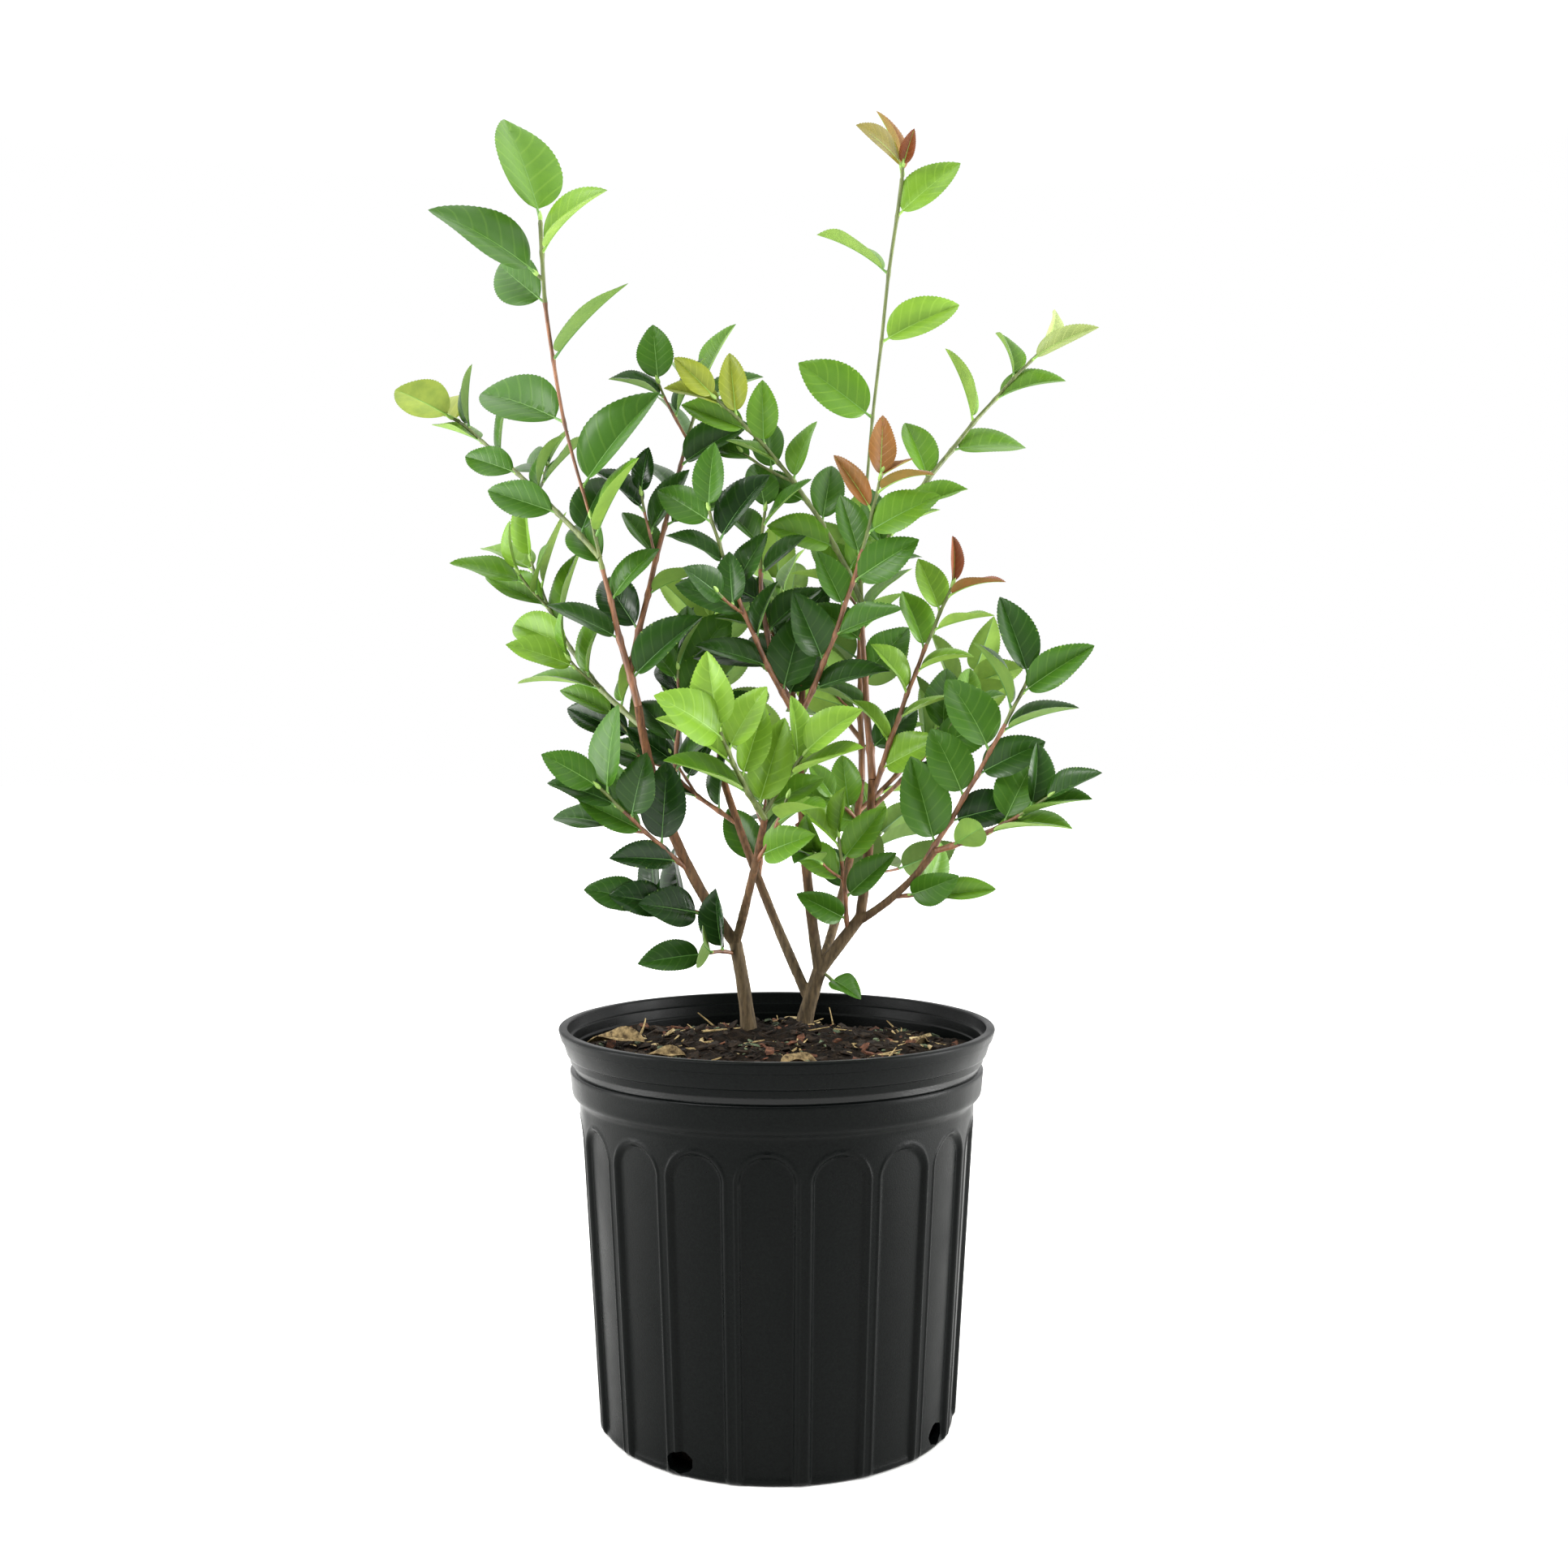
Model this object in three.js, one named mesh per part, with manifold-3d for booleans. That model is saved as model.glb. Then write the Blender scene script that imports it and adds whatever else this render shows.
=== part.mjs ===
// A young camellia shrub in its round nursery pot, as a three.js scene graph.
// Millimetres, +Z up. The origin is the centre of the pot's flat underside, and -Y is the front.
// Every limb is a curve worked out from where it starts, its heading, its lean and its length.
// Every mass of foliage is one stem with its side shoots and leaves fused to it.

import * as THREE from 'three';
import { mergeVertices } from 'three/addons/utils/BufferGeometryUtils.js';
import Module from 'manifold-3d';

const wasm = await Module();
wasm.setup();

// ---------------------------------------------------------------- driving dimensions

const GAP = 0.3; // clear space between neighbours that meet
const SOUND = 1e-3; // corners closer than this count as one when a joined solid is tested

// Pot
const POT_HEIGHT = 254.6;
const RIM_RADIUS = 140;
const RIM_WIDTH = 5.6; // flat top of the lip
const LIP_HEIGHT = 17;
const NECK_RADIUS = 132.6;
const COLLAR_TOP = 228;
const COLLAR_BOTTOM = 213.5;
const BODY_TOP = 208;
const BODY_TOP_RADIUS = 126.8;
const BODY_FOOT = 4.5;
const BODY_FOOT_RADIUS = 115;
const BASE_RADIUS = 110;
const WALL = 2.4;
const FLOOR = 3;
const GROOVE = { width: 2, depth: 1.5 }; // round the pot between its collar and its neck
const COLLAR_TAPER = 1; // how much narrower the collar's foot is than the neck
const POT_SIDES = 36; // two facets to each flute

// Arched flutes pressed into the pot's wall
const FLUTES = 18;
const FLUTE_DEPTH = 2;
const FLUTE_FIRST = -92.4; // heading of the flute nearest the front
const FLUTE_ARC = 16.2; // degrees of the wall that one flute takes up
const FLUTE_TOP = 198;

// Drain holes through the corner between wall and floor
const DRAINS = 4;
const DRAIN_FIRST = -120;
const DRAIN_SIZE = { width: 17, height: 13, middle: 9.2 };

// Growing mix
const MIX_EDGE = 236;
const MIX_TOP = 243.7;
const MIX_PLATEAU = 56;

// Limbs: start, heading (0 is +X, 90 is the back), lean from upright at foot and tip,
// length, and radius at foot and tip. A limb on another starts at the share "at" of its length.
const LIMB_STEPS = 24;
const LIMB_SIDES = 7;
const RING_SPACING = 20;
const STEM_SIDES = 3;
const STEM_SPACING = 24;
const STEM_EXTRA = 0.25; // of a three-sided stem, so that it holds as much as a round one
const FLARE = { reach: 7, radius: 4, sink: 3 }; // how a trunk widens, from a little below the flat cut

const TRUNKS = [
  { name: 'trunk_left', start: [-18, 20], heading: 195, lean: [5, 12],
    length: 64, radius: [5.2, 4.6] },
  { name: 'trunk_right', start: [16, 30], heading: 0, lean: [12, 19],
    length: 45, radius: [5.6, 5.1] },
];

const BOUGHS = [
  { name: 'left_bough', on: 'trunk_left', at: 1, heading: 195, lean: [37, 8],
    length: 170, radius: [4, 2.6] },
  { name: 'front_bough', on: 'trunk_left', at: 1, heading: 295, lean: [33, 25],
    length: 96, radius: [3.1, 2.2] },
  { name: 'centre_bough', on: 'trunk_right', at: 1, heading: 214, lean: [11, 0],
    length: 164, radius: [3.8, 2.4] },
  { name: 'right_foot', on: 'trunk_right', at: 1, heading: 350, lean: [36, 38],
    length: 45, radius: [4.2, 3.8] },
  { name: 'right_bough', on: 'right_foot', at: 1, heading: 0, lean: [9, 1],
    length: 92, radius: [3.5, 2.8] },
  { name: 'low_right_bough', on: 'right_foot', at: 0.92, heading: 325, lean: [62, 39],
    length: 78, radius: [2.9, 2] },
  { name: 'back_bough', on: 'trunk_right', at: 0.54, heading: 146, lean: [30, 22],
    length: 162, radius: [3.6, 2.4] },
  { name: 'rear_bough', on: 'trunk_right', at: 0.86, heading: 62, lean: [42, 14],
    length: 150, radius: [3.5, 2.4] },
];

// Shoots: as the limbs, with the count and length of their leaves, the share of the shoot where
// the first leaf stands, and the turn of the leaf rows about the shoot.
const SHOOTS = [
  { name: 'left_crown', on: 'left_bough', at: 1, heading: 210, lean: [17, 14], length: 123,
    leaves: 6, leaf: 50, fan: 0 },
  { name: 'left_leader', on: 'left_crown', at: 1, heading: 205, lean: [19, 1], length: 186,
    leaves: 6, leaf: 66, fan: 0, first: 0.1, tip: 1.1 },
  { name: 'far_left', on: 'left_crown', at: 0.79, heading: 150, lean: [46, 54], length: 150,
    leaves: 8, leaf: 46, fan: 0, tip: 1.1 },
  { name: 'left_inner', on: 'left_crown', at: 0.17, heading: 46, lean: [16, 21], length: 207,
    leaves: 10, leaf: 46, fan: 180 },
  { name: 'left_mid', on: 'left_bough', at: 0.92, heading: 143, lean: [60, 23], length: 153,
    leaves: 9, leaf: 52, fan: 0 },
  { name: 'left_low', on: 'left_bough', at: 0.33, heading: 212, lean: [52, 47], length: 86,
    leaves: 7, leaf: 48, fan: 180 },
  { name: 'left_upright', on: 'left_bough', at: 0.54, heading: 74, lean: [18, 19], length: 108,
    leaves: 7, leaf: 46, fan: 180 },
  { name: 'left_skirt', on: 'left_bough', at: 0.12, heading: 186, lean: [72, 82], length: 52,
    leaves: 6, leaf: 46, fan: 180, first: 0.22 },
  { name: 'foot_left', on: 'trunk_left', at: 0.88, heading: 215, lean: [70, 100], length: 26,
    leaves: 3, leaf: 44, fan: 0, first: 0.45 },
  { name: 'front_light', on: 'front_bough', at: 1, heading: 233, lean: [48, 30], length: 71,
    leaves: 7, leaf: 50, fan: 0 },
  { name: 'front_right', on: 'front_light', at: 0.04, heading: 330, lean: [35, 40], length: 48,
    leaves: 5, leaf: 46, fan: 0 },
  { name: 'front_mid', on: 'front_bough', at: 0.66, heading: 305, lean: [48, 30], length: 56,
    leaves: 5, leaf: 44, fan: 0 },
  { name: 'centre_crown', on: 'centre_bough', at: 1, heading: 193, lean: [29, -10], length: 144,
    leaves: 8, leaf: 44, fan: 0 },
  { name: 'centre_left', on: 'centre_crown', at: 0.03, heading: 220, lean: [38, 20], length: 150,
    leaves: 9, leaf: 44, fan: 0 },
  { name: 'bronze', on: 'centre_crown', at: 0.02, heading: 323, lean: [31, 15], length: 165,
    leaves: 10, leaf: 44, fan: 0 },
  { name: 'centre_thin', on: 'centre_crown', at: 0.06, heading: 103, lean: [18, 28], length: 88,
    leaves: 5, leaf: 42, fan: 0 },
  { name: 'centre_low', on: 'right_foot', at: 0.71, heading: 255, lean: [17, 28], length: 71,
    leaves: 6, leaf: 42, fan: 180 },
  { name: 'right_crown', on: 'right_bough', at: 1, heading: 126, lean: [8, 2], length: 140,
    leaves: 7, leaf: 44, fan: 0 },
  { name: 'right_leader', on: 'right_crown', at: 1, heading: 21, lean: [4, 9], length: 262,
    leaves: 5, leaf: 54, fan: 180, first: 0.38, tip: 0.9 },
  { name: 'right_diagonal', on: 'right_crown', at: 0.96, heading: 16, lean: [33, 46], length: 205,
    leaves: 8, leaf: 46, fan: 0, first: 0.26 },
  { name: 'arching', on: 'right_crown', at: 0.83, heading: 203, lean: [24, 54], length: 166,
    leaves: 11, leaf: 40, fan: 0 },
  { name: 'right_inner', on: 'right_bough', at: 0.86, heading: 335, lean: [18, 26], length: 148,
    leaves: 10, leaf: 40, fan: 0 },
  { name: 'right_side', on: 'right_bough', at: 0.79, heading: 350, lean: [48, 38], length: 85,
    leaves: 7, leaf: 42, fan: 180 },
  { name: 'inner_side', on: 'right_bough', at: 0.6, heading: 213, lean: [42, 58], length: 38,
    leaves: 4, leaf: 38, fan: 180, first: 0.3 },
  { name: 'fan_upper', on: 'low_right_bough', at: 0.75, heading: 335, lean: [34, 27], length: 152,
    leaves: 10, leaf: 50, fan: 180 },
  { name: 'fan_low', on: 'low_right_bough', at: 1, heading: 333, lean: [75, 54], length: 84,
    leaves: 8, leaf: 46, fan: 0 },
  { name: 'right_skirt', on: 'low_right_bough', at: 0.42, heading: 345, lean: [80, 95], length: 34,
    leaves: 4, leaf: 40, fan: 0, first: 0.3 },
  { name: 'back_left', on: 'back_bough', at: 1, heading: 120, lean: [18, 1], length: 110,
    leaves: 8, leaf: 46, fan: 0 },
  { name: 'back_side', on: 'back_bough', at: 0.8, heading: 176, lean: [58, 40], length: 112,
    leaves: 8, leaf: 46, fan: 0 },
  { name: 'back_mid', on: 'back_bough', at: 0.55, heading: 84, lean: [48, 22], length: 104,
    leaves: 8, leaf: 46, fan: 180 },
  { name: 'rear_crown', on: 'rear_bough', at: 1, heading: 95, lean: [8, 8], length: 160,
    leaves: 9, leaf: 46, fan: 180 },
  { name: 'rear_left', on: 'rear_crown', at: 0.18, heading: 150, lean: [42, 20], length: 130,
    leaves: 8, leaf: 44, fan: 0 },
  { name: 'rear_right', on: 'rear_bough', at: 0.85, heading: 20, lean: [52, 34], length: 130,
    leaves: 8, leaf: 46, fan: 180 },
  { name: 'rear_low', on: 'rear_bough', at: 0.42, heading: 66, lean: [70, 52], length: 84,
    leaves: 7, leaf: 46, fan: 180 },
];

// Growth rule shared by all shoots
const SEED = 20731;
const SHOOT_RADIUS = { foot: 1.25, perLength: 0.0045, tip: 0.85 };
const FIRST_LEAF = 0.14; // share of a shoot below its first leaf
const LEAF_CROWDING = 1.3; // above 1, leaves stand closer together towards a shoot's tip
const LEAF_TURN = 184; // degrees about the shoot from one leaf to the next
const LEAF_OPEN = { foot: 56, tip: 42, last: 14 }; // angle between a leaf and its shoot, degrees
const LEAF_TIP_SIZE = 0.85; // of the last leaf, where a shoot says nothing else
const LEAF_WIDTH = 0.67; // of its length
const LEAF_STALK = 0.11; // of its length
const LEAF_THICK = 0.018; // of its length
const LEAF_ROOT = 0.6; // half the height of the blade's root inside its shoot
const LEAF_FOLD = [16, 40]; // degrees that each half rises from the midrib
const LEAF_CURL = [8, 38]; // degrees that a leaf bends down from root to tip
const LEAF_LIFT = 0.85; // pull upwards on the leaves of a shoot that lies over
const LEAF_LIGHT = { tip: 0.5, up: 0.5 }; // pull of the shoot's tip and of the sky on a blade's face
const LEAF_ROLL = 80; // widest difference in how blades are rolled about their midribs, degrees
const BLADE_SECTIONS = { low: [0.26, 0.9], middle: [0.46, 1], high: [0.66, 0.82] }; // share, fullness
const PATCH_SPACING = 30; // between the rings of a limb in the crossing test
const PATCH_SECTIONS = { low: [0.3, 0.95], high: [0.68, 0.8] }; // the same, of the crossing test
const LEAF_JITTER = { turn: 36, open: 16 }; // widest differences between leaves, degrees
const LEAF_SIZES = { length: [0.82, 1.12], width: [0.9, 1.12] }; // range from leaf to leaf
const LEAF_MARGIN = 0.9; // clear space that a leaf keeps to what is there
const LEAF_TRIES = [0, 24, -24, 48, -48]; // turns that a crowded leaf tries, degrees
const CROWN = { left: -249, right: 218, front: -172, back: 180, low: 262, top: 858 };
const OPEN_SIDE = { ridge: 75, spread: 400 }; // leaves face away from a ridge along X behind the axis

const FINISHES = {
  pot: { color: 0x1d211f, roughness: 0.45 },
  mix: { color: 0x33231a, roughness: 0.95 },
  bark: { color: 0x7a6656, roughness: 0.85 },
  dark: { color: 0x2f5a24, roughness: 0.4 },
  mid: { color: 0x4b7a2b, roughness: 0.4 },
  lime: { color: 0x86ab32, roughness: 0.4 },
};
const MASS_FINISHES = { // of the masses that aren't mid green
  left_low: 'dark', left_skirt: 'dark', foot_left: 'dark', back_side: 'dark', rear_low: 'dark',
  right_skirt: 'dark', front_light: 'lime', front_mid: 'lime', right_crown: 'lime',
};

// ---------------------------------------------------------------- small helpers

const degrees = Math.PI / 180;
const UP = new THREE.Vector3(0, 0, 1);

const mix = (from, to, share) => from + (to - from) * share;
const between = ([low, high], share) => mix(low, high, share);

/** Repeatable numbers from 0 to 1. */
function seeded(seed) {
  let state = seed;
  return () => {
    state = (state * 48271) % 2147483647;
    return state / 2147483647;
  };
}

/** A geometry's corners, merged where they are closer than a tolerance, and its true triangles. */
function weld(geometry, tolerance) {
  const bare = geometry.clone();
  bare.deleteAttribute('normal');
  bare.deleteAttribute('uv');
  const merged = mergeVertices(bare, tolerance);
  const index = Array.from(merged.index.array);
  const triVerts = [];
  for (let i = 0; i < index.length; i += 3) {
    const [a, b, c] = index.slice(i, i + 3);
    if (a !== b && b !== c && c !== a) triVerts.push(a, b, c);
  }
  return { vertProperties: new Float32Array(merged.attributes.position.array), triVerts };
}

/** A closed three.js geometry as a solid that can be joined and cut. */
function solid(geometry) {
  const { vertProperties, triVerts } = weld(geometry, 1e-4);
  return new wasm.Manifold(new wasm.Mesh({
    numProp: 3, vertProperties, triVerts: new Uint32Array(triVerts),
  }));
}

/** True if the solid stays closed when corners that all but touch are merged. */
function isSound(shape) {
  const { triVerts } = weld(geometryOf(shape), SOUND);
  const edges = new Map();
  for (let i = 0; i < triVerts.length; i += 3) {
    for (let j = 0; j < 3; j += 1) {
      const ends = [triVerts[i + j], triVerts[i + ((j + 1) % 3)]];
      const key = `${Math.min(...ends)} ${Math.max(...ends)}`;
      edges.set(key, (edges.get(key) ?? 0) + 1);
    }
  }
  return [...edges.values()].every((count) => count === 2);
}

/** The solid's largest single body, with any sealed hollow filled and any scrap left out. */
function largest(shape) {
  return shape.decompose().reduce((best, piece) => (piece.volume() > best.volume() ? piece : best));
}

/** A solid as a geometry for a mesh. */
function geometryOf(shape) {
  const mesh = shape.getMesh();
  const geometry = new THREE.BufferGeometry();
  geometry.setAttribute('position', new THREE.BufferAttribute(new Float32Array(mesh.vertProperties), 3));
  geometry.setIndex(new THREE.BufferAttribute(new Uint32Array(mesh.triVerts), 1));
  geometry.computeVertexNormals();
  return geometry;
}

/** A named node with its own plain material. */
function node(name, shape, finish) {
  const material = new THREE.MeshStandardMaterial({ ...FINISHES[finish], metalness: 0 });
  const mesh = new THREE.Mesh(geometryOf(shape), material);
  mesh.name = name;
  return mesh;
}

// ---------------------------------------------------------------- pot and mix

/** A solid of revolution about Z from [radius, height] pairs that start and end on the axis. */
function turned(profile, sides) {
  const points = profile.map(([radius, height]) => new THREE.Vector2(radius, height));
  const geometry = new THREE.LatheGeometry(points, sides);
  geometry.rotateX(Math.PI / 2);
  return solid(geometry);
}

/** Radius of the pot's plain wall at a height. */
function wallRadius(height) {
  return mix(BODY_FOOT_RADIUS, BODY_TOP_RADIUS, (height - BODY_FOOT) / (BODY_TOP - BODY_FOOT));
}

/** One arched prism that reaches outwards through the wall, at a heading. */
function flutePrism(heading) {
  const depth = 40;
  const half = (height) => wallRadius(height) * Math.sin((FLUTE_ARC / 2) * degrees);
  const crown = half(FLUTE_TOP);
  const spring = FLUTE_TOP - crown;
  const outline = new THREE.Shape();
  outline.moveTo(-half(0), -5);
  outline.lineTo(half(0), -5);
  outline.lineTo(crown, spring);
  outline.absarc(0, spring, crown, 0, Math.PI, false);
  const geometry = new THREE.ExtrudeGeometry(outline, { depth, bevelEnabled: false, curveSegments: 3 });
  geometry.rotateX(Math.PI / 2); // outline stands up, and the depth runs along -Y
  geometry.translate(0, -BASE_RADIUS + 4, 0);
  geometry.rotateZ((heading + 90) * degrees);
  return solid(geometry);
}

/** One drain hole's cutter, an oval bar along a heading. */
function drainCutter(heading) {
  const geometry = new THREE.CylinderGeometry(0.5, 0.5, 40, 12);
  geometry.scale(DRAIN_SIZE.width, 1, DRAIN_SIZE.height);
  geometry.translate(0, -BASE_RADIUS, DRAIN_SIZE.middle);
  geometry.rotateZ((heading + 90) * degrees);
  return solid(geometry);
}

/** Inside of the pot, as [radius, height] pairs: what the mix fills, and the free space above it. */
function hollowProfile(shrink, top) {
  const inset = WALL + FLUTE_DEPTH;
  return [
    [0, FLOOR + shrink],
    [BASE_RADIUS - 3 - shrink, FLOOR + shrink],
    [wallRadius(9) - inset - shrink, 9 + shrink],
    [BODY_TOP_RADIUS - inset - shrink, BODY_TOP],
    [NECK_RADIUS - WALL - shrink, COLLAR_BOTTOM + 3],
    [NECK_RADIUS - WALL - shrink, top],
  ];
}

function makePot() {
  const lipFoot = POT_HEIGHT - LIP_HEIGHT;
  const shell = turned([
    [0, 0],
    [BASE_RADIUS, 0],
    [BODY_FOOT_RADIUS, BODY_FOOT],
    [BODY_TOP_RADIUS, BODY_TOP],
    [NECK_RADIUS - COLLAR_TAPER, COLLAR_BOTTOM],
    [NECK_RADIUS + 0.2, COLLAR_TOP],
    [NECK_RADIUS - GROOVE.depth, COLLAR_TOP + GROOVE.width],
    [NECK_RADIUS, lipFoot],
    [RIM_RADIUS, POT_HEIGHT - 3],
    [RIM_RADIUS, POT_HEIGHT],
    [0, POT_HEIGHT],
  ], POT_SIDES);
  const core = turned([
    [0, 1.5],
    [BODY_FOOT_RADIUS - FLUTE_DEPTH - 2, 1.5],
    [BODY_FOOT_RADIUS - FLUTE_DEPTH, BODY_FOOT],
    [BODY_TOP_RADIUS - FLUTE_DEPTH, BODY_TOP],
    [0, BODY_TOP],
  ], POT_SIDES);
  let pot = shell;
  for (let i = 0; i < FLUTES; i += 1) {
    pot = pot.subtract(flutePrism(FLUTE_FIRST + (i * 360) / FLUTES));
  }
  pot = pot.add(core);
  const throat = RIM_RADIUS - RIM_WIDTH;
  const hollow = turned([
    ...hollowProfile(0, MIX_EDGE + 2),
    [throat, POT_HEIGHT - 3],
    [throat, POT_HEIGHT + 1],
    [0, POT_HEIGHT + 1],
  ], POT_SIDES);
  pot = pot.subtract(hollow);
  for (let i = 0; i < DRAINS; i += 1) {
    pot = pot.subtract(drainCutter(DRAIN_FIRST + (i * 360) / DRAINS));
  }
  return largest(pot);
}

function makeMix() {
  return turned([
    ...hollowProfile(GAP, MIX_EDGE),
    [MIX_PLATEAU + 22, MIX_TOP - 2.2],
    [MIX_PLATEAU, MIX_TOP],
    [0, MIX_TOP],
  ], POT_SIDES);
}

// ---------------------------------------------------------------- limbs

/** One limb or shoot: a curve whose lean changes evenly from foot to tip. */
class Limb {
  constructor({ start, heading, lean, length, radius, flare = 0 }) {
    Object.assign(this, { heading: heading * degrees, lean, length, radius, flare });
    const step = length / LIMB_STEPS;
    this.points = [new THREE.Vector3(...start)];
    for (let i = 0; i < LIMB_STEPS; i += 1) {
      const along = this.frame((i + 0.5) / LIMB_STEPS).along;
      this.points.push(this.points[i].clone().addScaledVector(along, step));
    }
  }

  /** Directions at a share of the length: along the limb, and two across it. */
  frame(share) {
    const lean = mix(this.lean[0], this.lean[1], share) * degrees;
    const flat = Math.sin(lean);
    const [cos, sin] = [Math.cos(this.heading), Math.sin(this.heading)];
    const along = new THREE.Vector3(flat * cos, flat * sin, Math.cos(lean));
    const side = new THREE.Vector3(-sin, cos, 0);
    return { along, side, over: along.clone().cross(side) };
  }

  point(share) {
    const place = Math.min(Math.max(share, 0), 1) * LIMB_STEPS;
    const i = Math.min(Math.floor(place), LIMB_STEPS - 1);
    return this.points[i].clone().lerp(this.points[i + 1], place - i);
  }

  radiusAt(share) {
    const widening = this.flare * Math.exp((-share * this.length) / FLARE.reach);
    return mix(this.radius[0], this.radius[1], share) + widening;
  }

  /** A closed tapered tube along the limb: a cylinder whose rings are moved onto the curve. */
  tube(sides, extra = 0, spacing = RING_SPACING) {
    const rings = Math.max(2, Math.ceil(this.length / spacing));
    const geometry = new THREE.CylinderGeometry(1, 1, 1, sides, rings);
    const position = geometry.attributes.position;
    for (let i = 0; i < position.count; i += 1) {
      const share = position.getY(i) + 0.5;
      const { side, over } = this.frame(share);
      const radius = this.radiusAt(share) + extra;
      const place = this.point(share)
        .addScaledVector(side, position.getZ(i) * radius)
        .addScaledVector(over, position.getX(i) * radius);
      position.setXYZ(i, place.x, place.y, place.z);
    }
    return geometry;
  }
}

/** A limb of the table, started on the limb that carries it. */
function startOn(carrier, spec, extra) {
  return new Limb({ ...spec, ...extra, start: carrier.point(spec.at).toArray() });
}

// ---------------------------------------------------------------- keeping clear

/** A triangle with its box, for the crossing test. */
function patch(a, b, c) {
  return { corners: [a, b, c], box: new THREE.Box3().setFromPoints([a, b, c]) };
}

/** Flat patches round a limb, widened by the margin, for the crossing test. */
function tubePatches(limb, sides) {
  const geometry = limb.tube(sides, LEAF_MARGIN, PATCH_SPACING);
  const position = geometry.attributes.position;
  const corner = (i) => new THREE.Vector3().fromBufferAttribute(position, geometry.index.getX(i));
  const patches = [];
  for (let i = 0; i < geometry.index.count; i += 3) {
    patches.push(patch(corner(i), corner(i + 1), corner(i + 2)));
  }
  return patches;
}

/** True if the stretch from p to q goes through a triangle. */
function pierces(p, q, [a, b, c]) {
  const way = q.clone().sub(p);
  const one = b.clone().sub(a);
  const two = c.clone().sub(a);
  const across = way.clone().cross(two);
  const scale = one.dot(across);
  if (Math.abs(scale) < 1e-12) return false;
  const from = p.clone().sub(a);
  const u = from.dot(across) / scale;
  if (u < 0 || u > 1) return false;
  const turn = from.cross(one);
  const v = way.dot(turn) / scale;
  if (v < 0 || u + v > 1) return false;
  const t = two.dot(turn) / scale;
  return t >= 0 && t <= 1;
}

/** True if two triangles cross. */
function cross(one, two) {
  if (!one.box.intersectsBox(two.box)) return false;
  for (let i = 0; i < 3; i += 1) {
    const j = (i + 1) % 3;
    if (pierces(one.corners[i], one.corners[j], two.corners)) return true;
    if (pierces(two.corners[i], two.corners[j], one.corners)) return true;
  }
  return false;
}

const anyCross = (some, others) => some.some((one) => others.some((two) => cross(one, two)));

// ---------------------------------------------------------------- leaves

/** One leaf: a blade folded along its midrib that bends down towards its tip. */
class Leaf {
  constructor({ root, way, face, length, width, curl, fold }) {
    Object.assign(this, { root, way, face, length, width, curl, fold });
    this.side = face.clone().cross(way);
  }

  /** Place and directions at a share of the whole length, stalk and blade. */
  spine(share) {
    const bend = this.curl * share;
    const reach = (this.length * (1 + LEAF_STALK)) / this.curl;
    const place = this.root.clone()
      .addScaledVector(this.way, reach * Math.sin(bend))
      .addScaledVector(this.face, -reach * (1 - Math.cos(bend)));
    const face = this.face.clone().multiplyScalar(Math.cos(bend)).addScaledVector(this.way, Math.sin(bend));
    return { place, face };
  }

  /** Left edge, midrib and right edge at a share of the blade. */
  section(blade, fullness, margin) {
    const { place, face } = this.spine((LEAF_STALK + blade) / (1 + LEAF_STALK));
    const half = (this.width / 2) * fullness + margin;
    const edge = (sign) => place.clone()
      .addScaledVector(this.side, sign * half * Math.cos(this.fold))
      .addScaledVector(face, half * Math.sin(this.fold));
    return { left: edge(-1), rib: place, right: edge(1), face };
  }

  /** Flat patches of the blade's middle surface, widened by a margin. */
  patches(margin) {
    const low = this.section(...PATCH_SECTIONS.low, margin);
    const high = this.section(...PATCH_SECTIONS.high, margin);
    const foot = this.spine(LEAF_STALK / 2).place;
    const tip = this.spine(1 + margin / this.length).place;
    return [
      patch(foot, low.left, low.rib), patch(foot, low.rib, low.right),
      patch(low.left, high.left, high.rib), patch(low.left, high.rib, low.rib),
      patch(low.rib, high.rib, high.right), patch(low.rib, high.right, low.right),
      patch(high.left, tip, high.rib), patch(high.rib, tip, high.right),
    ];
  }

  /** The closed blade: an upright edge at the root, two edge points on each side, the tip and the rib. */
  solid(extra = 0) {
    const stalk = LEAF_ROOT + extra;
    const thick = (this.length * LEAF_THICK) / 2 + extra;
    const low = this.section(...BLADE_SECTIONS.low, extra);
    const high = this.section(...BLADE_SECTIONS.high, extra);
    const middle = this.section(...BLADE_SECTIONS.middle, extra);
    const corners = [
      this.root.clone().addScaledVector(this.face, stalk),
      this.root.clone().addScaledVector(this.face, -stalk),
      low.left, high.left, this.spine(1).place, high.right, low.right,
      middle.rib.clone().addScaledVector(middle.face, thick),
      middle.rib.clone().addScaledVector(middle.face, -thick),
    ];
    const rim = [2, 3, 4, 5, 6]; // the blade's outline between its two root corners
    const index = [0, 1, 2, 1, 0, 6, 0, 2, 7, 6, 0, 7, 2, 1, 8, 1, 6, 8];
    for (let i = 0; i < rim.length - 1; i += 1) {
      index.push(rim[i], rim[i + 1], 7, rim[i + 1], rim[i], 8);
    }
    const geometry = new THREE.BufferGeometry();
    const numbers = corners.flatMap((corner) => corner.toArray());
    geometry.setAttribute('position', new THREE.Float32BufferAttribute(numbers, 3));
    geometry.setIndex(index);
    return solid(geometry);
  }

  /** True if the blade stays inside the crown's reach. */
  inside() {
    return [0.5, 1].every((share) => {
      const { x, y, z } = this.spine(share).place;
      return x > CROWN.left && x < CROWN.right && y > CROWN.front && y < CROWN.back
        && z > CROWN.low && z < CROWN.top;
    });
  }
}

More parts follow.
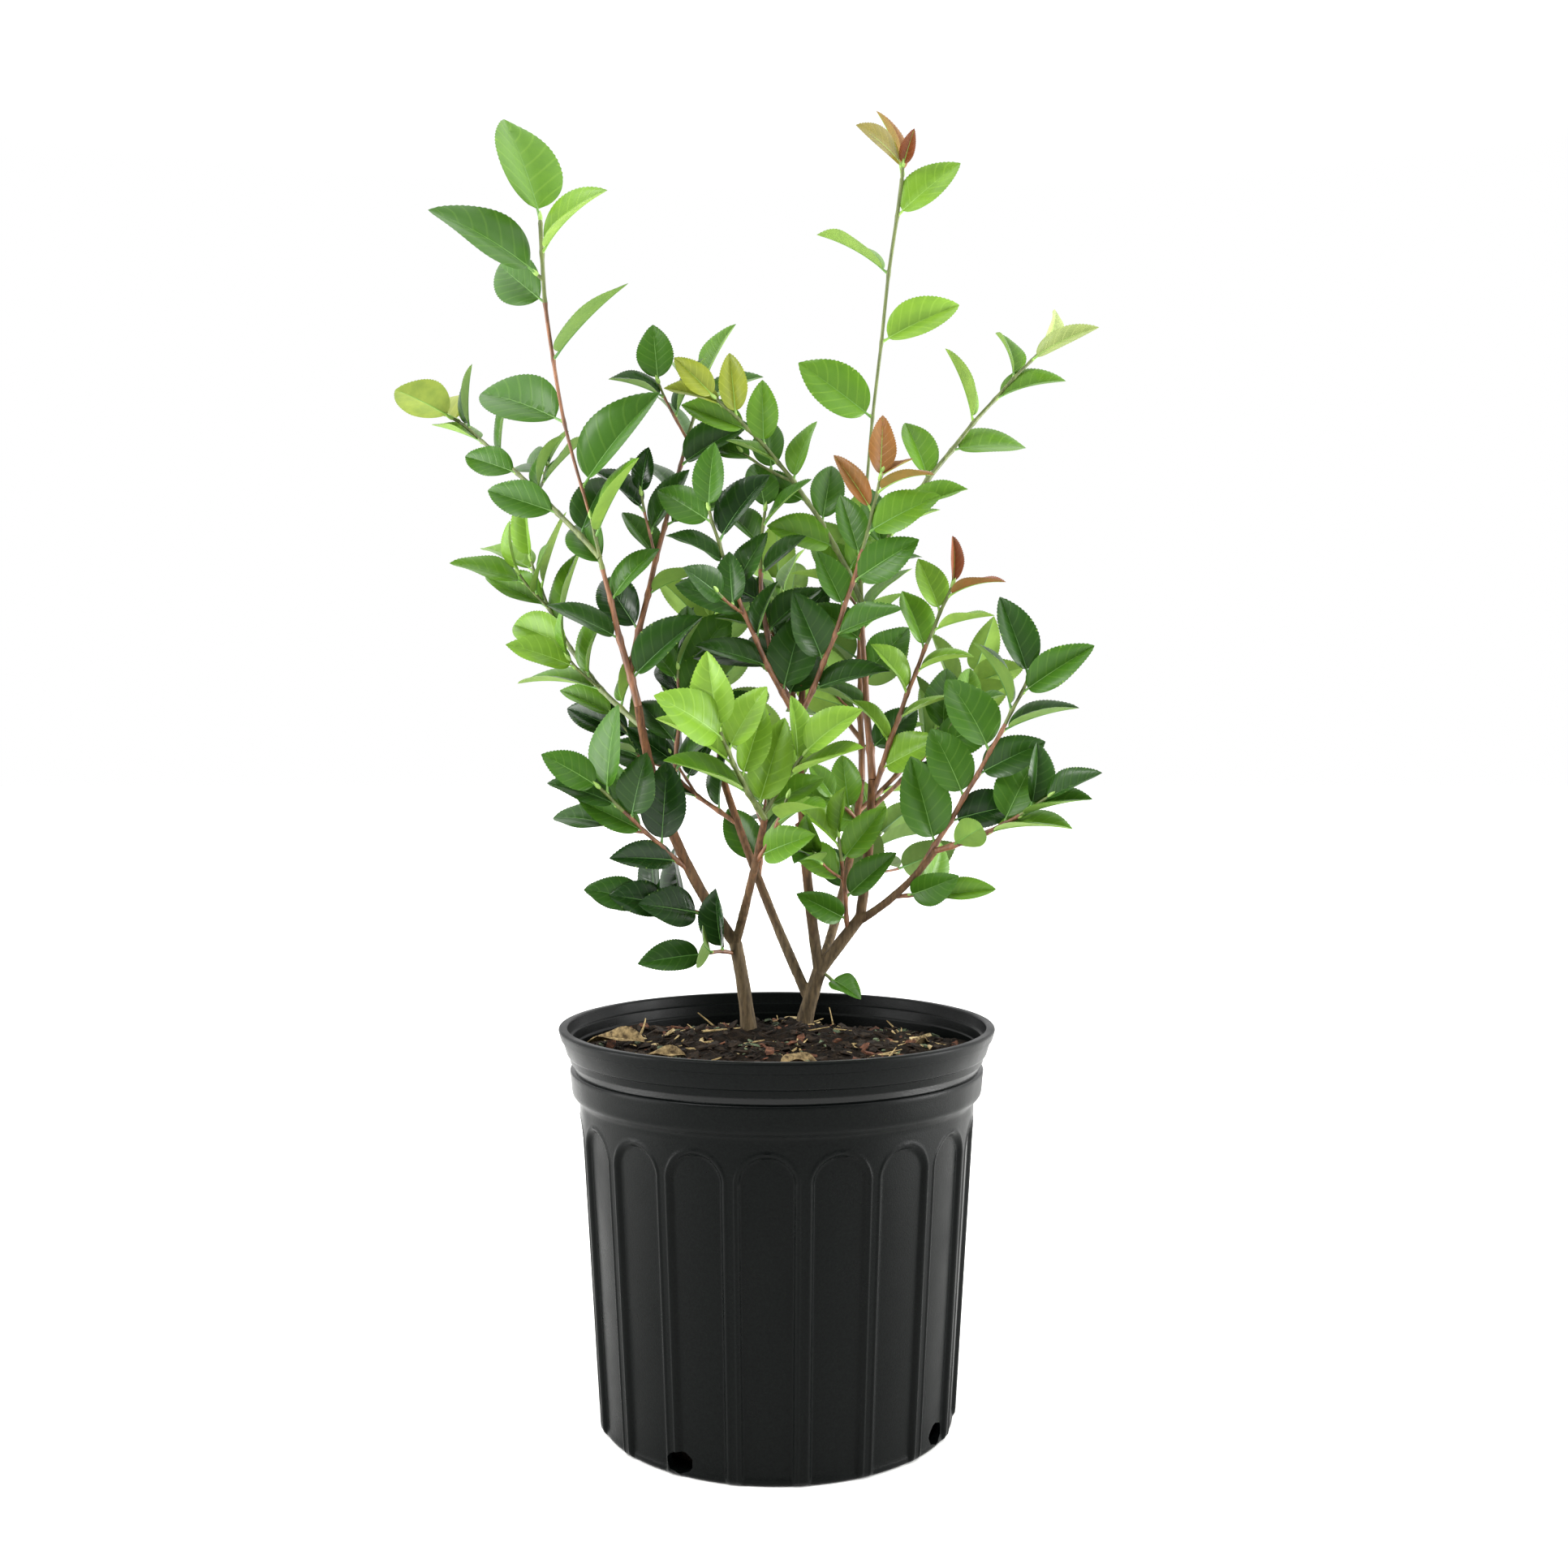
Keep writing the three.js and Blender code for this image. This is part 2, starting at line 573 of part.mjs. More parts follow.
/** Where the blades near a place face: the open side of the crown, and up. */
function openSide(place) {
  return new THREE.Vector3(place.x / OPEN_SIDE.spread, place.y < OPEN_SIDE.ridge ? -1 : 1, 0).normalize()
    .addScaledVector(UP, LEAF_LIGHT.up);
}

/** The leaf at a place on a shoot, turned about the shoot by a number of degrees. */
function leafOn(limb, share, turn, size, last, draws) {
  const { along } = limb.frame(share);
  const root = limb.point(share);
  const light = openSide(root);
  const front = light.clone().addScaledVector(along, -light.dot(along)).normalize();
  const row = along.clone().cross(front);
  const angle = turn * degrees;
  const out = row.multiplyScalar(Math.cos(angle)).addScaledVector(front, Math.sin(angle));
  const usual = mix(LEAF_OPEN.foot, LEAF_OPEN.tip, share);
  const open = ((last ? LEAF_OPEN.last : usual) + (draws[1] - 0.5) * LEAF_JITTER.open) * degrees;
  const way = along.clone().multiplyScalar(Math.cos(open)).addScaledVector(out, Math.sin(open));
  if (!last) way.addScaledVector(UP, LEAF_LIFT * (1 - along.z ** 2)).normalize();
  const within = along.clone().addScaledVector(way, -along.dot(way)).normalize();
  const face = within.multiplyScalar(LEAF_LIGHT.tip).add(light);
  face.addScaledVector(way, -face.dot(way)).normalize();
  face.applyAxisAngle(way, (draws[2] - 0.5) * LEAF_ROLL * degrees);
  const length = size * between(LEAF_SIZES.length, draws[3]);
  const width = length * LEAF_WIDTH * between(LEAF_SIZES.width, draws[4]);
  const curl = between(LEAF_CURL, draws[5]) * degrees;
  const fold = between(LEAF_FOLD, draws[6]) * degrees;
  return new Leaf({ root, way, face, length, width, curl, fold });
}

// ---------------------------------------------------------------- growing the shrub

/** Trunks and boughs, each with its curve, carriers first. */
function growLimbs() {
  const limbs = new Map();
  for (const spec of TRUNKS) {
    const start = [...spec.start, MIX_TOP - FLARE.sink];
    limbs.set(spec.name, new Limb({ ...spec, start, flare: FLARE.radius }));
  }
  for (const spec of BOUGHS) limbs.set(spec.name, startOn(limbs.get(spec.on), spec));
  return limbs;
}

/** All shoots, each with its mass, its curve and what leaves it carries. */
function growShoots(limbs) {
  const shoots = new Map();
  for (const spec of SHOOTS) {
    const radius = [SHOOT_RADIUS.foot + spec.length * SHOOT_RADIUS.perLength, SHOOT_RADIUS.tip];
    const onShoot = shoots.get(spec.on);
    const carrier = onShoot ? onShoot.curve : limbs.get(spec.on);
    const curve = startOn(carrier, spec, { radius });
    const mass = onShoot ? onShoot.mass : spec.name;
    shoots.set(spec.name, { first: FIRST_LEAF, tip: LEAF_TIP_SIZE, ...spec, mass, curve });
  }
  return [...shoots.values()];
}

/** Leaves of all shoots, each kept clear of limbs, other shoots and the leaves before it. */
function growLeaves(limbs, shoots, random) {
  const woody = [...limbs.values()].flatMap((limb) => tubePatches(limb, 5));
  const stems = shoots.map((shoot) => tubePatches(shoot.curve, STEM_SIDES));
  const placed = [];
  const leaves = [];
  shoots.forEach((shoot, own) => {
    const others = woody.concat(stems.filter((_, i) => i !== own).flat());
    for (let i = 0; i < shoot.leaves; i += 1) {
      const draws = Array.from({ length: 7 }, random);
      const share = mix(1, shoot.first, (1 - i / (shoot.leaves - 1)) ** LEAF_CROWDING);
      const last = i === shoot.leaves - 1;
      const size = shoot.leaf * (last ? shoot.tip : 1);
      const turn = shoot.fan + i * LEAF_TURN + (draws[0] - 0.5) * LEAF_JITTER.turn;
      for (const extra of LEAF_TRIES) {
        const leaf = leafOn(shoot.curve, share, turn + extra, size, last, draws);
        const patches = leaf.patches(LEAF_MARGIN);
        if (leaf.inside() && !anyCross(patches, others) && !anyCross(patches, placed)) {
          placed.push(...patches);
          leaves.push({ mass: shoot.mass, leaf });
          break;
        }
      }
    }
  });
  return leaves;
}

/** Trunks and boughs as solids, each cut clear of the ones before it. */
function limbSolids(limbs) {
  const ground = new THREE.BoxGeometry(2 * RIM_RADIUS, 2 * RIM_RADIUS, MIX_TOP + GAP);
  ground.translate(0, 0, (MIX_TOP + GAP) / 2);
  const shapes = new Map();
  let taken = solid(ground);
  for (const [name, limb] of limbs) {
    shapes.set(name, largest(solid(limb.tube(LIMB_SIDES)).subtract(taken)));
    taken = taken.add(solid(limb.tube(LIMB_SIDES, GAP)));
  }
  return { shapes, taken };
}

/** Masses of foliage as solids: their stems first, and then every leaf that has room. */
function massSolids(shoots, leaves, taken) {
  const masses = new Map();
  for (const { mass, curve } of shoots) {
    const stem = solid(curve.tube(STEM_SIDES, STEM_EXTRA, STEM_SPACING));
    masses.set(mass, masses.has(mass) ? masses.get(mass).add(stem) : stem);
  }
  for (const [name, shape] of masses) masses.set(name, largest(shape.subtract(taken)));
  for (const { mass, leaf } of leaves) {
    const room = leaf.solid(GAP);
    const blocked = [...masses].some(([name, shape]) => name !== mass && !room.intersect(shape).isEmpty());
    if (blocked) continue;
    const joined = masses.get(mass).add(leaf.solid());
    if (isSound(joined)) masses.set(mass, joined);
  }
  for (const [name, shape] of masses) masses.set(name, largest(shape));
  return masses;
}

const random = seeded(SEED);
const limbs = growLimbs();
const shoots = growShoots(limbs);
const leaves = growLeaves(limbs, shoots, random);
const { shapes, taken } = limbSolids(limbs);
const masses = massSolids(shoots, leaves, taken);

const shrub = new THREE.Group();
shrub.add(node('pot', makePot(), 'pot'));
shrub.add(node('growing_mix', makeMix(), 'mix'));
for (const [name, shape] of shapes) shrub.add(node(name, shape, 'bark'));
for (const [name, shape] of masses) {
  shrub.add(node(`${name}_leaves`, shape, MASS_FINISHES[name] ?? 'mid'));
}

export default shrub;
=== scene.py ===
"""A young camellia shrub in its black nursery pot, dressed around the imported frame.

The shrub grows by the same rule as the solids of the frame: limbs, shoots and alternate leaves,
each kept clear of the ones before it. It is then carried on to side twigs, buds, midribs and
toothed blades. Growth and meshes are worked out in millimetres and turned to metres as each piece
is made.
"""

from __future__ import annotations

import logging
import math
from dataclasses import dataclass, field
from enum import Enum
from typing import Sequence

import bpy
import numpy as np
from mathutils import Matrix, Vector, noise

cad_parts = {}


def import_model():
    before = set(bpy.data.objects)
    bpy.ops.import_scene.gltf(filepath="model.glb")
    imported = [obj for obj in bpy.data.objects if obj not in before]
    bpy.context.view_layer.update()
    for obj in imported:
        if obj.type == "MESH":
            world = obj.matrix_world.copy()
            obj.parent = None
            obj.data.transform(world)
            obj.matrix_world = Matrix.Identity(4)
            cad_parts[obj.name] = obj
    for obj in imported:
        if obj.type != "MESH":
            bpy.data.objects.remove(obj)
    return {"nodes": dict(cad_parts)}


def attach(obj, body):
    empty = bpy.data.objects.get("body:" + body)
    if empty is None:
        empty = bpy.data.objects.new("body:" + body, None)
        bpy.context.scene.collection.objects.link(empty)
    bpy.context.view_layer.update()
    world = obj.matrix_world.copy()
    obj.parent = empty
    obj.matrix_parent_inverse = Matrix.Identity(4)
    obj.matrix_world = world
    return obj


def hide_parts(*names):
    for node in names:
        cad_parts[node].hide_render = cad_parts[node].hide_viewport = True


Array, Pair, Triple = np.ndarray, tuple[float, float], tuple[float, float, float]
Form = tuple[Array, list[Array]]  # corners in millimetres, and arrays of corner numbers
Material, Mesh, Object = bpy.types.Material, bpy.types.Mesh, bpy.types.Object
Socket, Tree = bpy.types.NodeSocket, bpy.types.NodeTree

LOG = logging.getLogger("camellia")
MM = 0.001  # one millimetre in the frame's metres
UP = np.array([0.0, 0.0, 1.0])


# ---------------------------------------------------------------- small helpers


def mix(low: float, high: float, share: float) -> float:
    """The value at a share of the way from low to high."""
    return low + (high - low) * share


def unit(vector: Array) -> Array:
    """The vector at length one."""
    return vector / np.linalg.norm(vector)


def across(vector: Array, axis: Array) -> Array:
    """The direction of a vector once what runs along a unit axis is taken out."""
    return unit(vector - axis * (vector @ axis))


def smooth_step(value: Array) -> Array:
    """Values from 0 to 1 eased at both ends, and held outside."""
    value = np.clip(value, 0.0, 1.0)
    return value * value * (3.0 - 2.0 * value)


def linear(colour: str) -> tuple[float, float, float, float]:
    """Turns an sRGB hex colour to linear light.

    Args:
        colour: Six hex digits with a leading #.

    Returns:
        Linear red, green, blue, and an alpha of one.
    """
    levels = [int(colour[i:i + 2], 16) / 255 for i in (1, 3, 5)]
    light = [c / 12.92 if c <= 0.04045 else ((c + 0.055) / 1.055) ** 2.4 for c in levels]
    return (light[0], light[1], light[2], 1.0)


def blend_hex(one: str, two: str, share: float) -> str:
    """The hex colour at a share of the way between two hex colours."""
    pairs = [(int(one[i:i + 2], 16), int(two[i:i + 2], 16)) for i in (1, 3, 5)]
    return "#" + "".join(f"{round(mix(a, b, share)):02x}" for a, b in pairs)


def quarter(count: int) -> list[Pair]:
    """Sine and cosine at even steps of a quarter turn."""
    return [(math.sin(turn), math.cos(turn)) for turn in np.linspace(0, 1, count) * math.pi / 2]


class Draws:
    """Repeatable numbers, the same ones as the solids grow by."""

    def __init__(self, seed: int) -> None:
        """Starts the row of numbers.

        Args:
            seed: Any whole number above 0.
        """
        self.state = seed

    def next(self) -> float:
        """The next number from 0 to 1."""
        self.state = (self.state * 48271) % 2147483647
        return self.state / 2147483647

    def between(self, low: float, high: float) -> float:
        """The next number, between two limits."""
        return mix(low, high, self.next())

    def several(self, count: int) -> list[float]:
        """The next few numbers from 0 to 1."""
        return [self.next() for _ in range(count)]


def rumple(x: float, y: float, z: float, size: float) -> float:
    """Smooth noise from about -1 to 1 at a place, with lumps of a size in the same units."""
    return noise.noise(Vector((x / size, y / size, z / size)))


# ---------------------------------------------------------------- meshes


class MeshParts:
    """Many small forms that are joined into one piece."""

    def __init__(self) -> None:
        """Starts with nothing in it."""
        self.vertices: list[Array] = []
        self.uvs: list[Array] = []
        self.faces: list[list[int]] = []
        self.marks: list[int] = []
        self.count = 0

    def add(self, vertices: Array, faces: Sequence[Array], marks: Sequence[int] = (),
            uv: Array | None = None) -> None:
        """Adds one form.

        Args:
            vertices: Corners in millimetres, one row each.
            faces: Arrays of corner numbers, one row for each face.
            marks: The material number of each of those arrays; all are 0 if it is empty.
            uv: Pattern coordinates, one row for each corner.
        """
        for i, group in enumerate(faces):
            rows = (np.asarray(group) + self.count).tolist()
            self.faces.extend(rows)
            self.marks.extend([marks[i] if marks else 0] * len(rows))
        self.vertices.append(vertices)
        self.uvs.append(np.zeros((len(vertices), 2)) if uv is None else uv)
        self.count += len(vertices)

    def piece(self, name: str, materials: Sequence[Material], sharp: float = 60.0) -> Object:
        """Makes the Blender object.

        Args:
            name: The piece's name.
            materials: What its faces wear, by material number.
            sharp: Edges that bend by more than this many degrees stay crisp.

        Returns:
            The linked object.
        """
        mesh = bpy.data.meshes.new(name)
        mesh.from_pydata((np.concatenate(self.vertices) * MM).tolist(), [], self.faces)
        mesh.polygons.foreach_set("material_index", self.marks)
        corner = np.empty(len(mesh.loops), np.int32)
        mesh.loops.foreach_get("vertex_index", corner)
        layer = mesh.uv_layers.new(name=Blade.UV_NAME)
        layer.data.foreach_set("uv", np.concatenate(self.uvs)[corner].astype(np.float32).ravel())
        return finish_mesh(mesh, name, materials, sharp)


def finish_mesh(mesh: Mesh, name: str, materials: Sequence[Material], sharp: float) -> Object:
    """Gives a mesh its materials and shading, and links it as an object.

    Args:
        mesh: The mesh in metres.
        name: The object's name.
        materials: What it wears.
        sharp: Edges that bend by more than this many degrees stay crisp.

    Returns:
        The linked object.
    """
    for material in materials:
        mesh.materials.append(material)
    mesh.shade_smooth()
    mesh.set_sharp_from_angle(angle=math.radians(sharp))
    mesh.update()
    made = bpy.data.objects.new(name, mesh)
    bpy.context.scene.collection.objects.link(made)
    return made


def evaluated(piece: Object) -> Mesh:
    """Works a piece's modifiers into its mesh and removes the piece.

    Args:
        piece: The piece.

    Returns:
        Its finished mesh, with no materials.
    """
    graph = bpy.context.evaluated_depsgraph_get()
    mesh = bpy.data.meshes.new_from_object(piece.evaluated_get(graph))
    mesh.materials.clear()
    bpy.data.objects.remove(piece)
    return mesh


def corners_of(mesh: Mesh) -> Array:
    """A mesh's corners.

    Args:
        mesh: The mesh, in metres.

    Returns:
        The corners in millimetres, one row each.
    """
    flat = np.empty(len(mesh.vertices) * 3)
    mesh.vertices.foreach_get("co", flat)
    return flat.reshape(-1, 3) / MM


def tube_faces(rings: int, sides: int, inside_out: bool = False) -> list[Array]:
    """Faces of a closed form made of rings, whose last two corners close its first and last ring.

    Args:
        rings: How many rings.
        sides: Corners of a ring.
        inside_out: True if the rings run down instead of up.

    Returns:
        An array of quads and an array of triangles.
    """
    near = np.arange(sides)
    far = (near + 1) % sides
    steps = (np.arange(rings - 1) * sides)[:, None]
    quads = np.stack([steps + near, steps + far, steps + sides + far, steps + sides + near], -1)
    quads = quads.reshape(-1, 4)
    foot, last = rings * sides, (rings - 1) * sides
    caps = np.concatenate([np.stack([np.full(sides, foot), far, near], -1),
                           np.stack([np.full(sides, foot + 1), last + near, last + far], -1)])
    return [quads[:, [0, 3, 2, 1]], caps[:, [0, 2, 1]]] if inside_out else [quads, caps]


def sweep(points: Array, radii: Array, sides: int) -> Form:
    """A closed round form along a path.

    Args:
        points: The path, one row for each ring.
        radii: The radius of each ring.
        sides: Corners of a ring.

    Returns:
        Its corners, and its faces as an array of quads and an array of triangles.
    """
    ways = np.gradient(points, axis=0)
    ways /= np.linalg.norm(ways, axis=1)[:, None]
    seed = np.array([1.0, 0.0, 0.0]) if abs(ways[0][0]) < 0.8 else np.array([0.0, 1.0, 0.0])
    sides_on = np.empty_like(ways)
    for i, way in enumerate(ways):
        seed = across(seed, way)
        sides_on[i] = seed
    tops = np.cross(ways, sides_on)
    angle = np.arange(sides) * 2 * math.pi / sides
    round_way = (np.cos(angle)[None, :, None] * sides_on[:, None]
                 + np.sin(angle)[None, :, None] * tops[:, None])
    rings = points[:, None] + round_way * radii[:, None, None]
    corners = np.concatenate([rings.reshape(-1, 3), points[:1], points[-1:]])
    return corners, tube_faces(len(points), sides)


def ovoid(start: Array, way: Array, length: float, radius: float) -> Form:
    """A bud: a drop that swells from its foot and ends in a point.

    Args:
        start: Its foot.
        way: The direction in which it points.
        length: Along that direction.
        radius: At its widest.

    Returns:
        Its corners and faces, as sweep gives them.
    """
    shares = np.array([0.0, 0.16, 0.36, 0.6, 0.82, 1.0])
    swell = np.array([0.55, 0.92, 1.0, 0.78, 0.4, 0.05])
    return sweep(start + way * (shares * length)[:, None], swell * radius, 7)


# ---------------------------------------------------------------- shader nodes


def per_mm(size: float) -> float:
    """The texture scale that makes one feature this many millimetres wide."""
    return 1.0 / (size * MM)


def add_node(tree: Tree, kind: str, inputs: dict | None = None,
             **settings: object) -> bpy.types.Node:
    """Adds one shader node with its settings and links.

    Args:
        tree: The material's node tree.
        kind: Blender's name of the node type, without its ShaderNode prefix.
        inputs: For each input's name or number, a value or the output socket that feeds it.
        **settings: The node's own properties.

    Returns:
        The node.
    """
    made = tree.nodes.new("ShaderNode" + kind)
    for name, value in settings.items():
        setattr(made, name, value)
    for name, value in (inputs or {}).items():
        if isinstance(value, Socket):
            tree.links.new(value, made.inputs[name])
        else:
            made.inputs[name].default_value = value
    return made


@dataclass(frozen=True)
class Finish:
    """A surface finish: what the thing is made of and how its surface came about."""

    name: str

    ROUGHNESS = 0.5
    SPECULAR = 0.5
    IOR = 1.5  # of most plastics and plant skins

    def material(self) -> Material:
        """Makes the finish's material, or takes the one made before.

        Returns:
            The material.
        """
        known = bpy.data.materials.get(self.name)
        if known:
            return known
        made = bpy.data.materials.new(self.name)
        made.use_nodes = True
        tree = made.node_tree
        tree.nodes.clear()
        surface = {"Roughness": self.ROUGHNESS, "Specular IOR Level": self.SPECULAR,
                   "IOR": self.IOR, **self.pattern(tree)}
        shader = add_node(tree, "BsdfPrincipled", surface)
        add_node(tree, "OutputMaterial", {"Surface": shader.outputs[0]})
        return made

    def pattern(self, tree: Tree) -> dict[str, object]:
        """Adds the finish's pattern and relief.

        Args:
            tree: The material's node tree.

        Returns:
            What the shader's inputs take, by name.
        """
        raise NotImplementedError


def mottle(tree: Tree, size: float, colours: Sequence[str], stretch: float = 1.0,
           spread: Pair = (0.35, 0.65)) -> Socket:
    """A soft irregular change between colours.

    Args:
        tree: The material's node tree.
        size: The width of one patch in millimetres.
        colours: The hex colours that it passes through.
        stretch: How many times longer a patch is upright than it is wide.
        spread: Where in the noise's range the first and the last colour stand.

    Returns:
        The colour socket.
    """
    place = add_node(tree, "TexCoord").outputs["Object"]
    sized = add_node(tree, "Mapping", {"Vector": place, "Scale": (1, 1, 1 / stretch)})
    lumps = add_node(tree, "TexNoise", {"Vector": sized.outputs[0], "Scale": per_mm(size),
                                        "Detail": 4.0, "Roughness": 0.6})
    ramp = add_node(tree, "ValToRGB", {"Fac": lumps.outputs[0]})
    stops = ramp.color_ramp.elements
    for i, colour in enumerate(colours):
        share = i / max(1, len(colours) - 1)
        stop = stops[i] if i < 2 else stops.new(1.0)
        stop.position = mix(spread[0], spread[1], share)
        stop.color = linear(colour)
    return ramp.outputs[0]


def grain(tree: Tree, size: float, depth: float, stretch: float = 1.0) -> Socket:
    """Fine relief all over.

    Args:
        tree: The material's node tree.
        size: The width of one grain in millimetres.
        depth: Its depth in millimetres.
        stretch: How many times longer a grain is upright than it is wide.

    Returns:
        The normal socket.
    """
    place = add_node(tree, "TexCoord").outputs["Object"]
    sized = add_node(tree, "Mapping", {"Vector": place, "Scale": (1, 1, 1 / stretch)})
    lumps = add_node(tree, "TexNoise", {"Vector": sized.outputs[0], "Scale": per_mm(size),
                                        "Detail": 3.0})
    return add_node(tree, "Bump", {"Height": lumps.outputs[0], "Distance": depth * MM,
                                   "Strength": 1.0}).outputs[0]


# ---------------------------------------------------------------- finishes


@dataclass(frozen=True)
class MouldedPolyethylene(Finish):
    """Black high-density polyethylene, blow moulded in a grained steel mould.

    It gives the eye a charcoal satin with a soft broad sheen and a fine sand grain, and a wet
    gloss in the groove under the lip.
    """

    colour: str = "#010202"
    dusty: str = "#070a09"
    satin: Pair = (0.26, 0.4)  # least and greatest roughness
    sheen: float = 0.06  # specular: the dusty grain keeps back most of the usual 0.5
    groove: Triple = (230.3, 1.2, 2.8)  # middle; half height, blank and faded
    groove_gloss: Pair = (0.16, 0.2)  # roughness and specular where nothing rubs
    grain_mm: float = 0.9  # real grain is 0.3 mm; drawn coarser so that it shows
    grain_depth: float = 0.12
    speck_mm: float = 1.44
    smudge_mm: float = 40.0

    IOR = 1.54

    def pattern(self, tree: Tree) -> dict[str, object]:
        """Adds the satin, the dusty specks, the glossy groove and the grain.

        Args:
            tree: The material's node tree.

        Returns:
            What the shader's inputs take, by name.
        """
        place = add_node(tree, "TexCoord").outputs["Object"]
        height = add_node(tree, "SeparateXYZ", {0: place}).outputs[2]
        middle, blank, faded = (size * MM for size in self.groove)
        off = add_node(tree, "Math", {0: height, 1: middle}, operation="SUBTRACT")
        away = add_node(tree, "Math", {0: off.outputs[0]}, operation="ABSOLUTE").outputs[0]
        smudge = add_node(tree, "TexNoise", {"Vector": place, "Scale": per_mm(self.smudge_mm),
                                             "Detail": 3.0})
        satin = add_node(tree, "MapRange", {"Value": smudge.outputs[0], 1: 0.35, 2: 0.65,
                                            3: self.satin[0], 4: self.satin[1]})
        rough = add_node(tree, "MapRange", {"Value": away, 1: blank, 2: faded,
                                            3: self.groove_gloss[0], 4: satin.outputs[0]})
        sheen = add_node(tree, "MapRange", {"Value": away, 1: blank, 2: faded,
                                            3: self.groove_gloss[1], 4: self.sheen})
        return {"Base Color": mottle(tree, self.speck_mm, (self.colour, self.dusty),
                                     spread=(0.3, 0.75)),
                "Roughness": rough.outputs[0], "Specular IOR Level": sheen.outputs[0],
                "Normal": grain(tree, self.grain_mm, self.grain_depth)}


@dataclass(frozen=True)
class TwoToned(Finish):
    """A finish that is mottled in two colours under one grain."""

    dark: str = "#000000"
    pale: str = "#ffffff"
    patch_mm: float = 5.0
    patch_stretch: float = 1.0
    grain_mm: float = 1.0
    grain_depth: float = 0.3
    grain_stretch: float = 1.0

    def pattern(self, tree: Tree) -> dict[str, object]:
        """Adds the two colours and the relief."""
        patches = mottle(tree, self.patch_mm, (self.dark, self.pale), self.patch_stretch)
        return {"Base Color": patches,
                "Normal": grain(tree, self.grain_mm, self.grain_depth, self.grain_stretch)}


@dataclass(frozen=True)
class Peat(TwoToned):
    """Milled black peat and composted bark, damp and crumbly.

    It gives the eye a matt near-black brown that breaks up into crumbs.
    """

    dark: str = "#080604"
    pale: str = "#1e150c"
    grain_mm: float = 1.6
    grain_depth: float = 1.2

    ROUGHNESS, SPECULAR = 0.95, 0.12


@dataclass(frozen=True)
class Litter(TwoToned):
    """Shredded bark, straw or a withered leaf: dry plant tissue, split along its fibres.

    It gives the eye matt fibrous browns with a darker side and a paler side.
    """

    patch_mm: float = 3.0
    grain_mm: float = 0.7
    grain_stretch: float = 3.0

    ROUGHNESS, SPECULAR = 0.85, 0.2


@dataclass(frozen=True)
class StemSkin(TwoToned):
    """The skin of a shoot in its first year, not yet corky.

    It gives the eye a thin satin skin, red-brown where it ripens and green at the tips.
    """

    patch_mm: float = 3.0
    patch_stretch: float = 6.0
    grain_mm: float = 0.6
    grain_depth: float = 0.08
    grain_stretch: float = 5.0


@dataclass(frozen=True)
class Bark(Finish):
    """Smooth young bark, grey-brown and finely furrowed lengthwise.

    It gives the eye a dull tan with darker streaks, redder on the thinner limbs higher up.
    """

    foot: tuple[str, str] = ("#372d1e", "#5d4e37")
    crown: tuple[str, str] = ("#402a1b", "#724c31")
    change: Pair = (300.0, 400.0)  # heights between which the bark turns redder
    streak_mm: Pair = (2.6, 2.2)  # at the foot and in the crown
    streak_stretch: float = 5.0
    furrow_mm: float = 0.8
    furrow_depth: float = 0.25
    furrow_stretch: float = 4.0

    ROUGHNESS, SPECULAR = 0.78, 0.25

    def pattern(self, tree: Tree) -> dict[str, object]:
        """Adds the streaks, their change with height, and the relief.

        Args:
            tree: The material's node tree.

        Returns:
            What the shader's inputs take, by name.
        """
        low = mottle(tree, self.streak_mm[0], self.foot, self.streak_stretch)
        high = mottle(tree, self.streak_mm[1], self.crown, self.streak_stretch)
        place = add_node(tree, "TexCoord").outputs["Object"]
        height = add_node(tree, "SeparateXYZ", {0: place}).outputs[2]
        share = add_node(tree, "MapRange", {"Value": height, 1: self.change[0] * MM,
                                            2: self.change[1] * MM})
        both = add_node(tree, "Mix", {0: share.outputs[0], 6: low, 7: high}, data_type="RGBA")
        relief = grain(tree, self.furrow_mm, self.furrow_depth, self.furrow_stretch)
        return {"Base Color": both.outputs[2], "Normal": relief}


